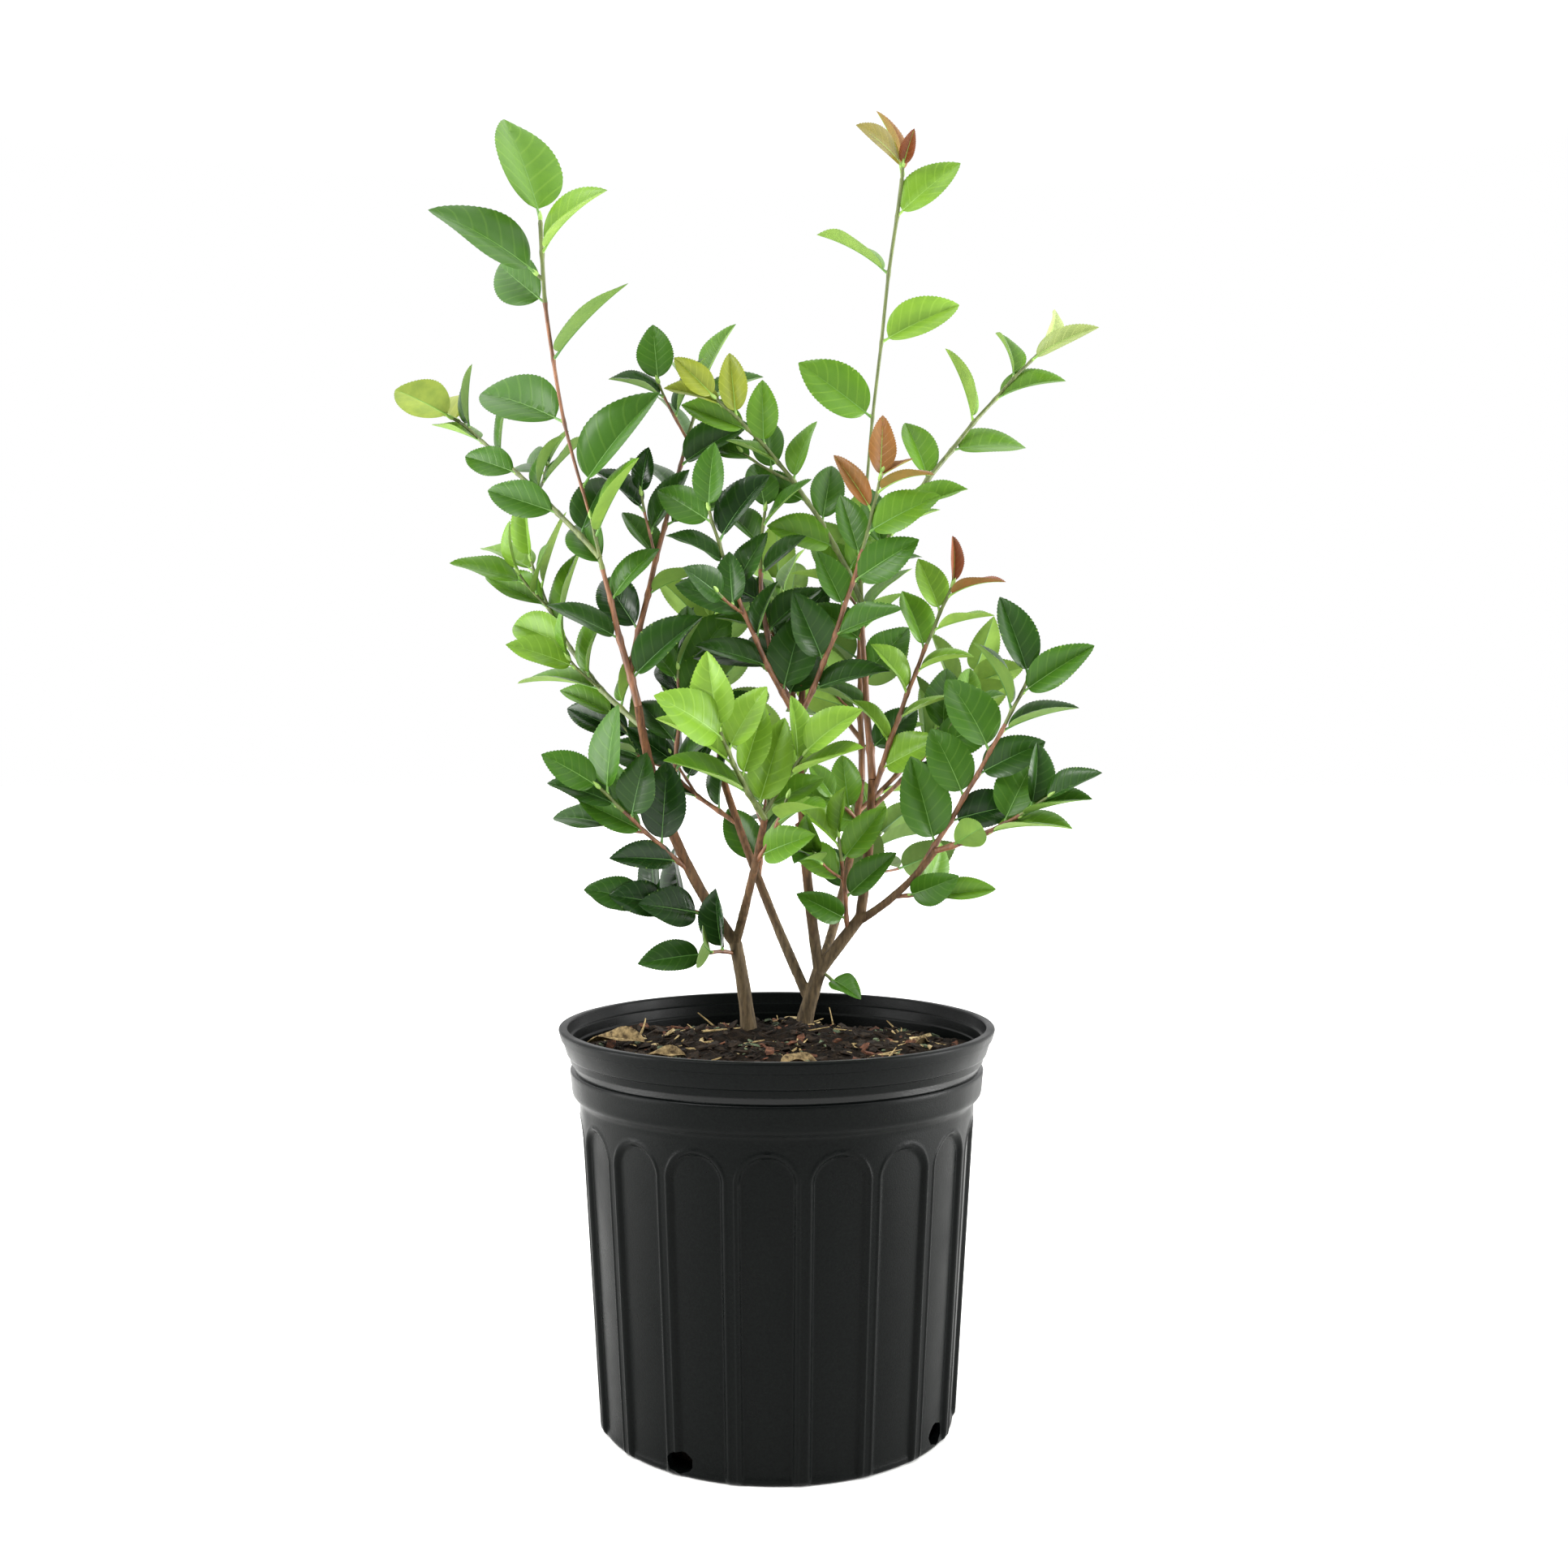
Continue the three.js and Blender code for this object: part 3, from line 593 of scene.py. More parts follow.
@dataclass(frozen=True)
class LeafSkin(Finish):
    """The waxed upper skin of a camellia leaf, pressed in along its side veins.

    It gives the eye a clean satin green, puckered between veins that show a little paler.
    """

    colour: str = "#3f7a2a"
    roughness: float = 0.36
    specular: float = 0.24
    vein_share: float = 0.07  # how far the veins go towards a pale green
    vein_width: float = 0.14  # in vein spacings
    shade_share: float = 0.16  # how far the patches go towards a dark green
    patch_mm: float = 14.0
    pucker_mm: float = 0.05

    VEINS = 7.0  # pairs of side veins
    SWEEP = 1.5  # how far they run forward, in vein spacings
    PALE = "#cfe08a"
    SHADE = "#20401c"
    IOR = 1.45

    def pattern(self, tree: Tree) -> dict[str, object]:
        """Adds the green, the vein lines and the puckered relief.

        Args:
            tree: The material's node tree.

        Returns:
            What the shader's inputs take, by name.
        """
        uv = add_node(tree, "UVMap", uv_map=Blade.UV_NAME).outputs[0]
        parts = add_node(tree, "SeparateXYZ", {0: uv})
        off = add_node(tree, "Math", {0: parts.outputs[0], 1: 0.5}, operation="SUBTRACT")
        side = add_node(tree, "Math", {0: off.outputs[0]}, operation="ABSOLUTE")
        back = add_node(tree, "Math", {0: side.outputs[0], 1: -2 * self.SWEEP},
                        operation="MULTIPLY")
        phase = add_node(tree, "Math", {0: parts.outputs[1], 1: self.VEINS, 2: back.outputs[0]},
                         operation="MULTIPLY_ADD")
        away = add_node(tree, "Math", {0: phase.outputs[0], 1: 0.5}, operation="PINGPONG")
        between = add_node(tree, "MapRange", {"Value": away.outputs[0], 1: 0.0,
                                              2: self.vein_width},
                           interpolation_type="SMOOTHSTEP").outputs[0]
        veined = linear(blend_hex(self.colour, self.PALE, self.vein_share))
        dull = blend_hex(self.colour, self.SHADE, self.shade_share)
        skin = mottle(tree, self.patch_mm, (dull, self.colour), spread=(0.3, 0.6))
        both = add_node(tree, "Mix", {0: between, 6: veined, 7: skin}, data_type="RGBA")
        pucker = add_node(tree, "Bump", {"Height": between, "Strength": 1.0,
                                         "Distance": self.pucker_mm * MM})
        return {"Base Color": both.outputs[2], "Roughness": self.roughness,
                "Specular IOR Level": self.specular, "Normal": pucker.outputs[0]}


@dataclass(frozen=True)
class LeafUnderside(Finish):
    """The unwaxed lower skin of a camellia leaf.

    It gives the eye a paler, matt and slightly yellow green.
    """

    colour: str = "#7f9f58"
    patch_mm: float = 9.0

    ROUGHNESS, SPECULAR = 0.6, 0.12

    def pattern(self, tree: Tree) -> dict[str, object]:
        """Adds the dull green."""
        dull = blend_hex(self.colour, "#3a5a2a", 0.2)
        return {"Base Color": mottle(tree, self.patch_mm, (dull, self.colour))}


@dataclass(frozen=True)
class Midrib(Finish):
    """The sappy tissue of leaf stalks, midribs and buds.

    It gives the eye a smooth pale yellow-green that looks a little moist.
    """

    colour: str = "#9cc25a"
    patch_mm: float = 8.0

    ROUGHNESS = 0.45

    def pattern(self, tree: Tree) -> dict[str, object]:
        """Adds the pale green."""
        deep = blend_hex(self.colour, "#5f8a30", 0.3)
        return {"Base Color": mottle(tree, self.patch_mm, (deep, self.colour))}


@dataclass(frozen=True)
class MattPaper(Finish):
    """A seamless roll of matt white paper. It gives the eye nothing but a soft shadow."""

    colour: str = "#f4f4f2"

    ROUGHNESS = 0.9

    def pattern(self, tree: Tree) -> dict[str, object]:
        """The plain pale paper, with no pattern."""
        return {"Base Color": linear(self.colour)}


# ---------------------------------------------------------------- tables of the plant


class Tint(Enum):
    """A leaf's age and light, as the colour of its upper skin. LIME is a young leaf's green,
    lightened further as painted light shining through the blade.
    """

    DEEP = "#132c0b"
    DARK = "#203f0e"
    MID = "#345a13"
    GRASS = "#4f761a"
    FRESH = "#658a24"
    # young leaf green, partly painted light: lightened to stand for light shining through the blade
    LIME = "#6e922e"
    PALE = "#8c9a58"
    OLIVE = "#7a8428"
    KHAKI = "#6c6222"
    BRONZE = "#7c5229"
    RUST = "#743d22"


class Stem(Enum):
    """How ripe a shoot's skin is, as its dark and its pale colour."""

    RED_BROWN = ("#4f311e", "#825638")
    GREEN = ("#434e22", "#657136")


@dataclass(frozen=True)
class LimbSpec:
    """A trunk or a bough.

    Heading 0 is +X and 90 is the back. Lean is from upright, at foot and tip. Sizes are in
    millimetres, and a limb on another starts at the share "at" of its length.
    """

    name: str
    heading: float
    lean: Pair
    length: float
    radius: Pair
    on: str = ""
    at: float = 1.0
    start: Pair = (0.0, 0.0)


@dataclass(frozen=True)
class ShootSpec:
    """A leafy shoot: as a limb, with its leaves, its side twigs and its tints."""

    name: str
    on: str
    at: float
    heading: float
    lean: Pair
    length: float
    leaves: int
    leaf: float
    fan: float = 0.0
    first: float = 0.14
    tip: float = 0.85
    twigs: int = 0
    tint: Tint = Tint.MID
    young: Tint = Tint.GRASS
    young_leaves: int = 2
    stem: Stem = Stem.RED_BROWN
    tip_radius: float = 0.95


TRUNKS = (
    LimbSpec("trunk_left", 195, (5, 12), 64, (5.2, 4.6), start=(-18, 20)),
    LimbSpec("trunk_right", 0, (12, 19), 45, (5.6, 5.1), start=(16, 30)),
)

BOUGHS = (
    LimbSpec("left_bough", 195, (37, 8), 170, (4, 2.6), "trunk_left", 1),
    LimbSpec("front_bough", 295, (33, 25), 96, (3.1, 2.2), "trunk_left", 1),
    LimbSpec("centre_bough", 214, (11, 0), 164, (3.8, 2.4), "trunk_right", 1),
    LimbSpec("right_foot", 350, (36, 38), 45, (4.2, 3.8), "trunk_right", 1),
    LimbSpec("right_bough", 0, (9, 1), 92, (3.5, 2.8), "right_foot", 1),
    LimbSpec("low_right_bough", 325, (62, 39), 78, (2.9, 2), "right_foot", 0.92),
    LimbSpec("back_bough", 146, (30, 22), 162, (3.6, 2.4), "trunk_right", 0.54),
    LimbSpec("rear_bough", 62, (42, 14), 150, (3.5, 2.4), "trunk_right", 0.86),
)

SHOOTS = (
    ShootSpec("left_crown", "left_bough", 1, 210, (17, 14), 123, 6, 50),
    ShootSpec("left_leader", "left_crown", 1, 205, (19, 1), 186, 6, 66, first=0.1, tip=1.1,
              young=Tint.FRESH, tip_radius=1.4),
    ShootSpec("far_left", "left_crown", 0.79, 150, (46, 54), 150, 8, 46, tip=1.1, twigs=1,
              young=Tint.OLIVE, young_leaves=1, stem=Stem.GREEN),
    ShootSpec("left_inner", "left_crown", 0.17, 46, (16, 21), 207, 10, 46, 180, twigs=2,
              tint=Tint.DARK),
    ShootSpec("left_mid", "left_bough", 0.92, 143, (60, 23), 153, 9, 52, twigs=2, tint=Tint.GRASS,
              young=Tint.FRESH, stem=Stem.GREEN),
    ShootSpec("left_low", "left_bough", 0.33, 212, (52, 47), 86, 7, 48, 180, tint=Tint.DARK,
              young=Tint.MID, twigs=1),
    ShootSpec("left_upright", "left_bough", 0.54, 74, (18, 19), 108, 7, 46, 180, twigs=2,
              tint=Tint.DARK, young=Tint.MID),
    ShootSpec("left_skirt", "left_bough", 0.12, 186, (72, 82), 52, 6, 46, 180, first=0.22, twigs=1,
              tint=Tint.DEEP, young=Tint.DARK),
    ShootSpec("foot_left", "trunk_left", 0.88, 215, (70, 100), 26, 3, 44, first=0.45,
              tint=Tint.DEEP, young=Tint.DARK),
    ShootSpec("front_light", "front_bough", 1, 233, (48, 30), 71, 7, 50, tint=Tint.FRESH,
              young=Tint.LIME, young_leaves=4, stem=Stem.GREEN),
    ShootSpec("front_right", "front_light", 0.04, 330, (35, 40), 48, 5, 46, twigs=1,
              tint=Tint.GRASS, young=Tint.FRESH, stem=Stem.GREEN),
    ShootSpec("front_mid", "front_bough", 0.66, 305, (48, 30), 56, 5, 44, tint=Tint.GRASS,
              young=Tint.LIME),
    ShootSpec("centre_crown", "centre_bough", 1, 193, (29, -10), 144, 8, 44, tint=Tint.DARK,
              young=Tint.MID),
    ShootSpec("centre_left", "centre_crown", 0.03, 220, (38, 20), 150, 9, 44, twigs=1,
              tint=Tint.DARK, young=Tint.MID),
    ShootSpec("bronze", "centre_crown", 0.02, 323, (31, 15), 165, 10, 44, twigs=1,
              young=Tint.BRONZE, young_leaves=3),
    ShootSpec("centre_thin", "centre_crown", 0.06, 103, (18, 28), 88, 5, 42, twigs=1,
              tint=Tint.DARK),
    ShootSpec("centre_low", "right_foot", 0.71, 255, (17, 28), 71, 6, 42, 180, twigs=1),
    ShootSpec("right_crown", "right_bough", 1, 126, (8, 2), 140, 7, 44),
    ShootSpec("right_leader", "right_crown", 1, 21, (4, 9), 262, 5, 54, 180, first=0.38, tip=0.9,
              tint=Tint.FRESH, young=Tint.BRONZE, young_leaves=1, stem=Stem.GREEN, tip_radius=1.3),
    ShootSpec("right_diagonal", "right_crown", 0.96, 16, (33, 46), 205, 8, 46, first=0.26,
              tint=Tint.GRASS, young=Tint.PALE, stem=Stem.GREEN),
    ShootSpec("arching", "right_crown", 0.83, 203, (24, 54), 166, 11, 40, twigs=1, tint=Tint.GRASS,
              young=Tint.OLIVE, young_leaves=3, stem=Stem.GREEN),
    ShootSpec("right_inner", "right_bough", 0.86, 335, (18, 26), 148, 10, 40, tint=Tint.FRESH,
              young=Tint.RUST),
    ShootSpec("right_side", "right_bough", 0.79, 350, (48, 38), 85, 7, 42, 180, tint=Tint.DARK,
              young=Tint.MID),
    ShootSpec("inner_side", "right_bough", 0.6, 213, (42, 58), 38, 4, 38, 180, first=0.3,
              tint=Tint.GRASS),
    ShootSpec("fan_upper", "low_right_bough", 0.75, 335, (34, 27), 152, 10, 50, 180, tint=Tint.DARK,
              young=Tint.MID),
    ShootSpec("fan_low", "low_right_bough", 1, 333, (75, 54), 84, 8, 46, young=Tint.MID),
    ShootSpec("right_skirt", "low_right_bough", 0.42, 345, (80, 95), 34, 4, 40, first=0.3),
    ShootSpec("back_left", "back_bough", 1, 120, (18, 1), 110, 8, 46, twigs=1, tint=Tint.DARK),
    ShootSpec("back_side", "back_bough", 0.8, 176, (58, 40), 112, 8, 46, twigs=2, tint=Tint.DEEP,
              young=Tint.MID),
    ShootSpec("back_mid", "back_bough", 0.55, 84, (48, 22), 104, 8, 46, 180, twigs=1,
              tint=Tint.DARK),
    ShootSpec("rear_crown", "rear_bough", 1, 95, (8, 8), 160, 9, 46, 180, twigs=2),
    ShootSpec("rear_left", "rear_crown", 0.18, 150, (42, 20), 130, 8, 44, twigs=1, tint=Tint.DARK),
    ShootSpec("rear_right", "rear_bough", 0.85, 20, (52, 34), 130, 8, 46, 180, twigs=1),
    ShootSpec("rear_low", "rear_bough", 0.42, 66, (70, 52), 84, 7, 46, 180, twigs=1, tint=Tint.DEEP,
              young=Tint.DARK),
)

# small shoots of one or two leaves that grow last
SPROUTS = (
    ShootSpec("foot_right", "trunk_right", 0.99, 340, (100, 148), 12, 2, 31, 90, first=0.8,
              young=Tint.MID, stem=Stem.GREEN),
    ShootSpec("leader_tip", "right_leader", 1, 270, (15, 50), 7, 2, 51, 200, first=0.9, tip=0.56,
              tint=Tint.KHAKI, young=Tint.RUST, young_leaves=1, stem=Stem.GREEN),
    ShootSpec("bronze_tip", "bronze", 1, 10, (8, 20), 6, 2, 27, 20, first=0.5, tip=0.8,
              tint=Tint.BRONZE, young=Tint.RUST, young_leaves=1),
    # broad_leaf's GRASS tint is a step lighter than its MID shoot: painted light on a leaf that
    # lies in shade
    ShootSpec("broad_leaf", "left_leader", 0.8, 195, (40, 50), 5, 1, 66, 120, first=1, tip=1,
              tint=Tint.GRASS, stem=Stem.GREEN),
    ShootSpec("olive_leaf", "far_left", 1, 210, (65, 70), 5, 1, 46, 160, first=1, tip=1,
              tint=Tint.OLIVE, young=Tint.OLIVE, stem=Stem.GREEN),
)


# ---------------------------------------------------------------- growth


class Limb:
    """One limb or shoot: a curve whose lean changes evenly from foot to tip."""

    STEPS = 24
    FLARE_REACH = 7.0  # height in which a trunk's flare at the ground dies away

    def __init__(self, start: Array, heading: float, lean: Pair, length: float,
                 radius: Pair, flare: float = 0.0) -> None:
        """Works out the curve.

        Args:
            start: Its foot.
            heading: Its compass way in degrees.
            lean: Its lean from upright at foot and tip, in degrees.
            length: Along the curve.
            radius: At foot and tip.
            flare: How much wider the foot is.
        """
        self.heading = math.radians(heading)
        self.lean, self.length, self.radius, self.flare = lean, length, radius, flare
        points = [np.asarray(start, float)]
        for i in range(self.STEPS):
            points.append(points[-1] + self.along((i + 0.5) / self.STEPS) * length / self.STEPS)
        self.points = np.array(points)

    def along(self, share: float) -> Array:
        """The limb's direction.

        Args:
            share: Where, as a share of its length.

        Returns:
            A direction of length one.
        """
        lean = math.radians(mix(self.lean[0], self.lean[1], share))
        flat = math.sin(lean)
        return np.array([flat * math.cos(self.heading), flat * math.sin(self.heading),
                         math.cos(lean)])

    def point(self, share: float) -> Array:
        """A place on the limb's middle line.

        Args:
            share: Where, as a share of its length.

        Returns:
            The place.
        """
        place = min(max(share, 0.0), 1.0) * self.STEPS
        i = min(math.floor(place), self.STEPS - 1)
        return self.points[i] + (self.points[i + 1] - self.points[i]) * (place - i)

    def radius_at(self, share: float) -> float:
        """The radius at a share of the length."""
        widening = self.flare * math.exp(-share * self.length / self.FLARE_REACH)
        return mix(self.radius[0], self.radius[1], share) + widening

    def patches(self, sides: int) -> Array:
        """Flat triangles round the limb, widened by the margin, for the crossing test.

        Args:
            sides: Corners of a ring.

        Returns:
            The triangles' corners.
        """
        rings = max(2, math.ceil(self.length / Rule.PATCH_SPACING))
        side = np.array([-math.sin(self.heading), math.cos(self.heading), 0.0])
        angle = np.arange(sides) * 2 * math.pi / sides
        loops, middles = [], []
        for j in range(rings + 1):
            share = 1 - j / rings
            over = np.cross(self.along(share), side)
            middle = self.point(share)
            radius = self.radius_at(share) + Rule.MARGIN
            ring = np.cos(angle)[:, None] * side + np.sin(angle)[:, None] * over
            loops.append(middle + ring * radius)
            middles.append(middle)
        triangles = []
        for upper, lower in zip(loops, loops[1:]):
            for i in range(sides):
                j = (i + 1) % sides
                triangles += [(upper[i], lower[i], upper[j]), (lower[i], lower[j], upper[j])]
        for ring, middle in ((loops[0], middles[0]), (loops[-1], middles[-1])):
            triangles += [(ring[i], ring[(i + 1) % sides], middle) for i in range(sides)]
        return np.array(triangles)


class Rule:
    """The growth rule that all shoots share. Angles are degrees and sizes millimetres."""

    SEED = 20731
    TURN = 184.0  # about the shoot from one leaf to the next
    CROWDING = 1.3  # above 1, leaves stand closer together towards a shoot's tip
    OPEN = {"foot": 56.0, "tip": 42.0, "last": 14.0}  # angle between a leaf and its shoot
    WIDTH = 0.67  # of the leaf's length
    STALK = 0.11  # of the leaf's length
    FOLD = (16.0, 40.0)  # how far each half rises from the midrib
    FURLED_WIDTH, FURLED_FOLD = 0.72, 7.0  # share of the width, and added fold, of a young leaf
    CURL = (8.0, 38.0)  # how far a leaf bends down from root to tip
    LIFT = 0.85  # pull upwards on the leaves of a shoot that lies over
    LIGHT_TIP = 0.5  # pull of the shoot's tip on a blade's face
    LIGHT_UP = 0.5  # pull of the sky
    ROLL = 80.0  # widest difference in how blades are rolled about their midribs
    JITTER_TURN, JITTER_OPEN = 36.0, 16.0  # widest differences between leaves
    LENGTHS, WIDTHS = (0.82, 1.12), (0.9, 1.12)  # range from leaf to leaf
    MARGIN = 0.9  # clear space that a leaf keeps to what is there
    TRIES = (0.0, 24.0, -24.0, 48.0, -48.0)  # turns that a crowded leaf tries
    PATCH_SPACING = 30.0
    PATCH_LOW, PATCH_HIGH = (0.3, 0.95), (0.68, 0.8)  # share of the blade, and its fullness there
    LOW, HIGH = np.array([-249.0, -172.0, 262.0]), np.array([218.0, 180.0, 858.0])  # crown's reach
    RIDGE = 75.0  # leaves face away from a ridge along X, this far behind the axis
    SPREAD = 400.0  # the further out along X, the more they face outwards too
    FOOT_RADIUS, RADIUS_PER_LENGTH = 1.25, 0.0045
    MIX_TOP, TRUNK_SINK, TRUNK_FLARE = 243.7, 3.0, 4.0


class Leaf:
    """One leaf: a blade folded along its midrib that bends down towards its tip."""

    def __init__(self, root: Array, way: Array, face: Array, length: float,
                 width: float, curl: float, fold: float) -> None:
        """Keeps the leaf's frame.

        Args:
            root: Where its stalk leaves the shoot's middle line.
            way: The direction of its stalk.
            face: The direction that its upper side faces.
            length: Of the blade.
            width: Of the blade.
            curl: How far it bends down to its tip, in radians.
            fold: How far each half rises, in radians.
        """
        self.root, self.way, self.face = root, way, face
        self.length, self.width, self.curl, self.fold = length, width, curl, fold
        self.side = np.cross(face, way)
        self.tint = Tint.MID
        self.mass = ""

    def spine(self, share: Array) -> tuple[Array, Array]:
        """Places along the stalk and midrib, and which way the leaf faces there.

        Args:
            share: Shares of the whole length, stalk and blade.

        Returns:
            The places and the face directions, one row for each share.
        """
        bend = (self.curl * np.asarray(share, float))[..., None]
        reach = self.length * (1 + Rule.STALK) / self.curl
        place = self.root + self.way * reach * np.sin(bend) - self.face * reach * (1 - np.cos(bend))
        return place, self.face * np.cos(bend) + self.way * np.sin(bend)

    def patches(self) -> Array:
        """Flat triangles over the blade, widened by the margin, for the crossing test.

        Returns:
            The triangles' corners.
        """
        rows = []
        for blade, fullness in (Rule.PATCH_LOW, Rule.PATCH_HIGH):
            place, face = self.spine((Rule.STALK + blade) / (1 + Rule.STALK))
            half = self.width / 2 * fullness + Rule.MARGIN
            out, rise = self.side * half * math.cos(self.fold), face * half * math.sin(self.fold)
            rows.append((place - out + rise, place, place + out + rise))
        (low_left, low, low_right), (high_left, high, high_right) = rows
        foot = self.spine(Rule.STALK / 2)[0]
        tip = self.spine(1 + Rule.MARGIN / self.length)[0]
        return np.array([
            (foot, low_left, low), (foot, low, low_right),
            (low_left, high_left, high), (low_left, high, low),
            (low, high, high_right), (low, high_right, low_right),
            (high_left, tip, high), (high, tip, high_right),
        ])

    def furl(self) -> None:
        """Narrows and folds a young leaf that hasn't spread yet."""
        self.width *= Rule.FURLED_WIDTH
        self.fold += math.radians(Rule.FURLED_FOLD)

    def inside(self) -> bool:
        """True if the blade stays inside the crown's reach."""
        places = self.spine(np.array([0.5, 1.0]))[0]
        return bool(((places > Rule.LOW) & (places < Rule.HIGH)).all())


def pierces(p: Array, q: Array, triangles: Array) -> Array:
    """Which stretches go through their triangles.

    Args:
        p: Starts of the stretches, one row each.
        q: Their ends.
        triangles: The triangle that each is tested with.

    Returns:
        True where a stretch goes through.
    """
    a, b, c = triangles[:, 0], triangles[:, 1], triangles[:, 2]
    way, one, two, start = q - p, b - a, c - a, p - a
    crossed = np.cross(way, two)
    scale = (one * crossed).sum(1)
    safe = np.where(np.abs(scale) < 1e-12, 1.0, scale)
    u = (start * crossed).sum(1) / safe
    turned = np.cross(start, one)
    v = (way * turned).sum(1) / safe
    t = (two * turned).sum(1) / safe
    within = (u >= 0) & (u <= 1) & (v >= 0) & (u + v <= 1) & (t >= 0) & (t <= 1)
    return within & (np.abs(scale) >= 1e-12)


class Clearance:
    """All that has grown so far, as triangles that new growth has to keep clear of."""

    def __init__(self) -> None:
        """Starts with nothing in it."""
        self.corners = np.empty((0, 3, 3))
        self.owners = np.empty(0, int)

    def add(self, triangles: Array, owner: int = -1) -> None:
        """Adds triangles, with the number of the shoot that they belong to."""
        self.corners = np.concatenate([self.corners, triangles])
        self.owners = np.concatenate([self.owners, np.full(len(triangles), owner)])

    def crossed_by(self, triangles: Array, own: Sequence[int]) -> bool:
        """Tests new growth against all but its own shoots.

        Args:
            triangles: The new growth.
            own: Numbers of the shoots that it may touch.

        Returns:
            True if any triangle crosses one that is there.
        """
        low, high = self.corners.min(1), self.corners.max(1)
        near = ((low <= triangles.max((0, 1))) & (high >= triangles.min((0, 1)))).all(1)
        near &= ~np.isin(self.owners, own)
        if not near.any():
            return False
        others, low, high = self.corners[near], low[near], high[near]
        meet = (triangles.min(1)[:, None] <= high) & (triangles.max(1)[:, None] >= low)
        first, second = np.nonzero(meet.all(-1))
        one, two = triangles[first], others[second]
        for i in range(3):
            j = (i + 1) % 3
            if pierces(one[:, i], one[:, j], two).any() or pierces(two[:, i], two[:, j], one).any():
                return True
        return False


def open_side(place: Array) -> Array:
    """Where the blades near a place face: the open side of the crown, and up."""
    outward = unit(np.array([place[0] / Rule.SPREAD, -1.0 if place[1] < Rule.RIDGE else 1.0, 0.0]))
    return outward + UP * Rule.LIGHT_UP


def leaf_on(limb: Limb, share: float, turn: float, size: float, last: bool,
            draws: Sequence[float]) -> Leaf:
    """The leaf at a place on a shoot.

    Args:
        limb: The shoot.
        share: The place, as a share of its length.
        turn: How far round the shoot the leaf stands, in degrees.
        size: Its length before it varies.
        last: True for the leaf at the shoot's tip.
        draws: Seven numbers from 0 to 1.

    Returns:
        The leaf.
    """
    along, root = limb.along(share), limb.point(share)
    light = open_side(root)
    front = across(light, along)
    row = np.cross(along, front)
    angle = math.radians(turn)
    out = row * math.cos(angle) + front * math.sin(angle)
    usual = Rule.OPEN["last"] if last else mix(Rule.OPEN["foot"], Rule.OPEN["tip"], share)
    opened = math.radians(usual + (draws[1] - 0.5) * Rule.JITTER_OPEN)
    way = along * math.cos(opened) + out * math.sin(opened)
    if not last:
        way = unit(way + UP * Rule.LIFT * (1 - along[2] ** 2))
    face = across(across(along, way) * Rule.LIGHT_TIP + light, way)
    roll = math.radians((draws[2] - 0.5) * Rule.ROLL)
    face = face * math.cos(roll) + np.cross(way, face) * math.sin(roll)
    length = size * mix(*Rule.LENGTHS, draws[3])
    width = length * Rule.WIDTH * mix(*Rule.WIDTHS, draws[4])
    curl = math.radians(mix(*Rule.CURL, draws[5]))
    return Leaf(root, way, face, length, width, curl, math.radians(mix(*Rule.FOLD, draws[6])))


@dataclass
class Shoot:
    """A grown shoot or twig."""

    curve: Limb
    mass: str
    stem: Stem
    number: int
    spec: ShootSpec | None = None
    joints: list[tuple[float, Array]] = field(default_factory=list)  # share, way to the leaf


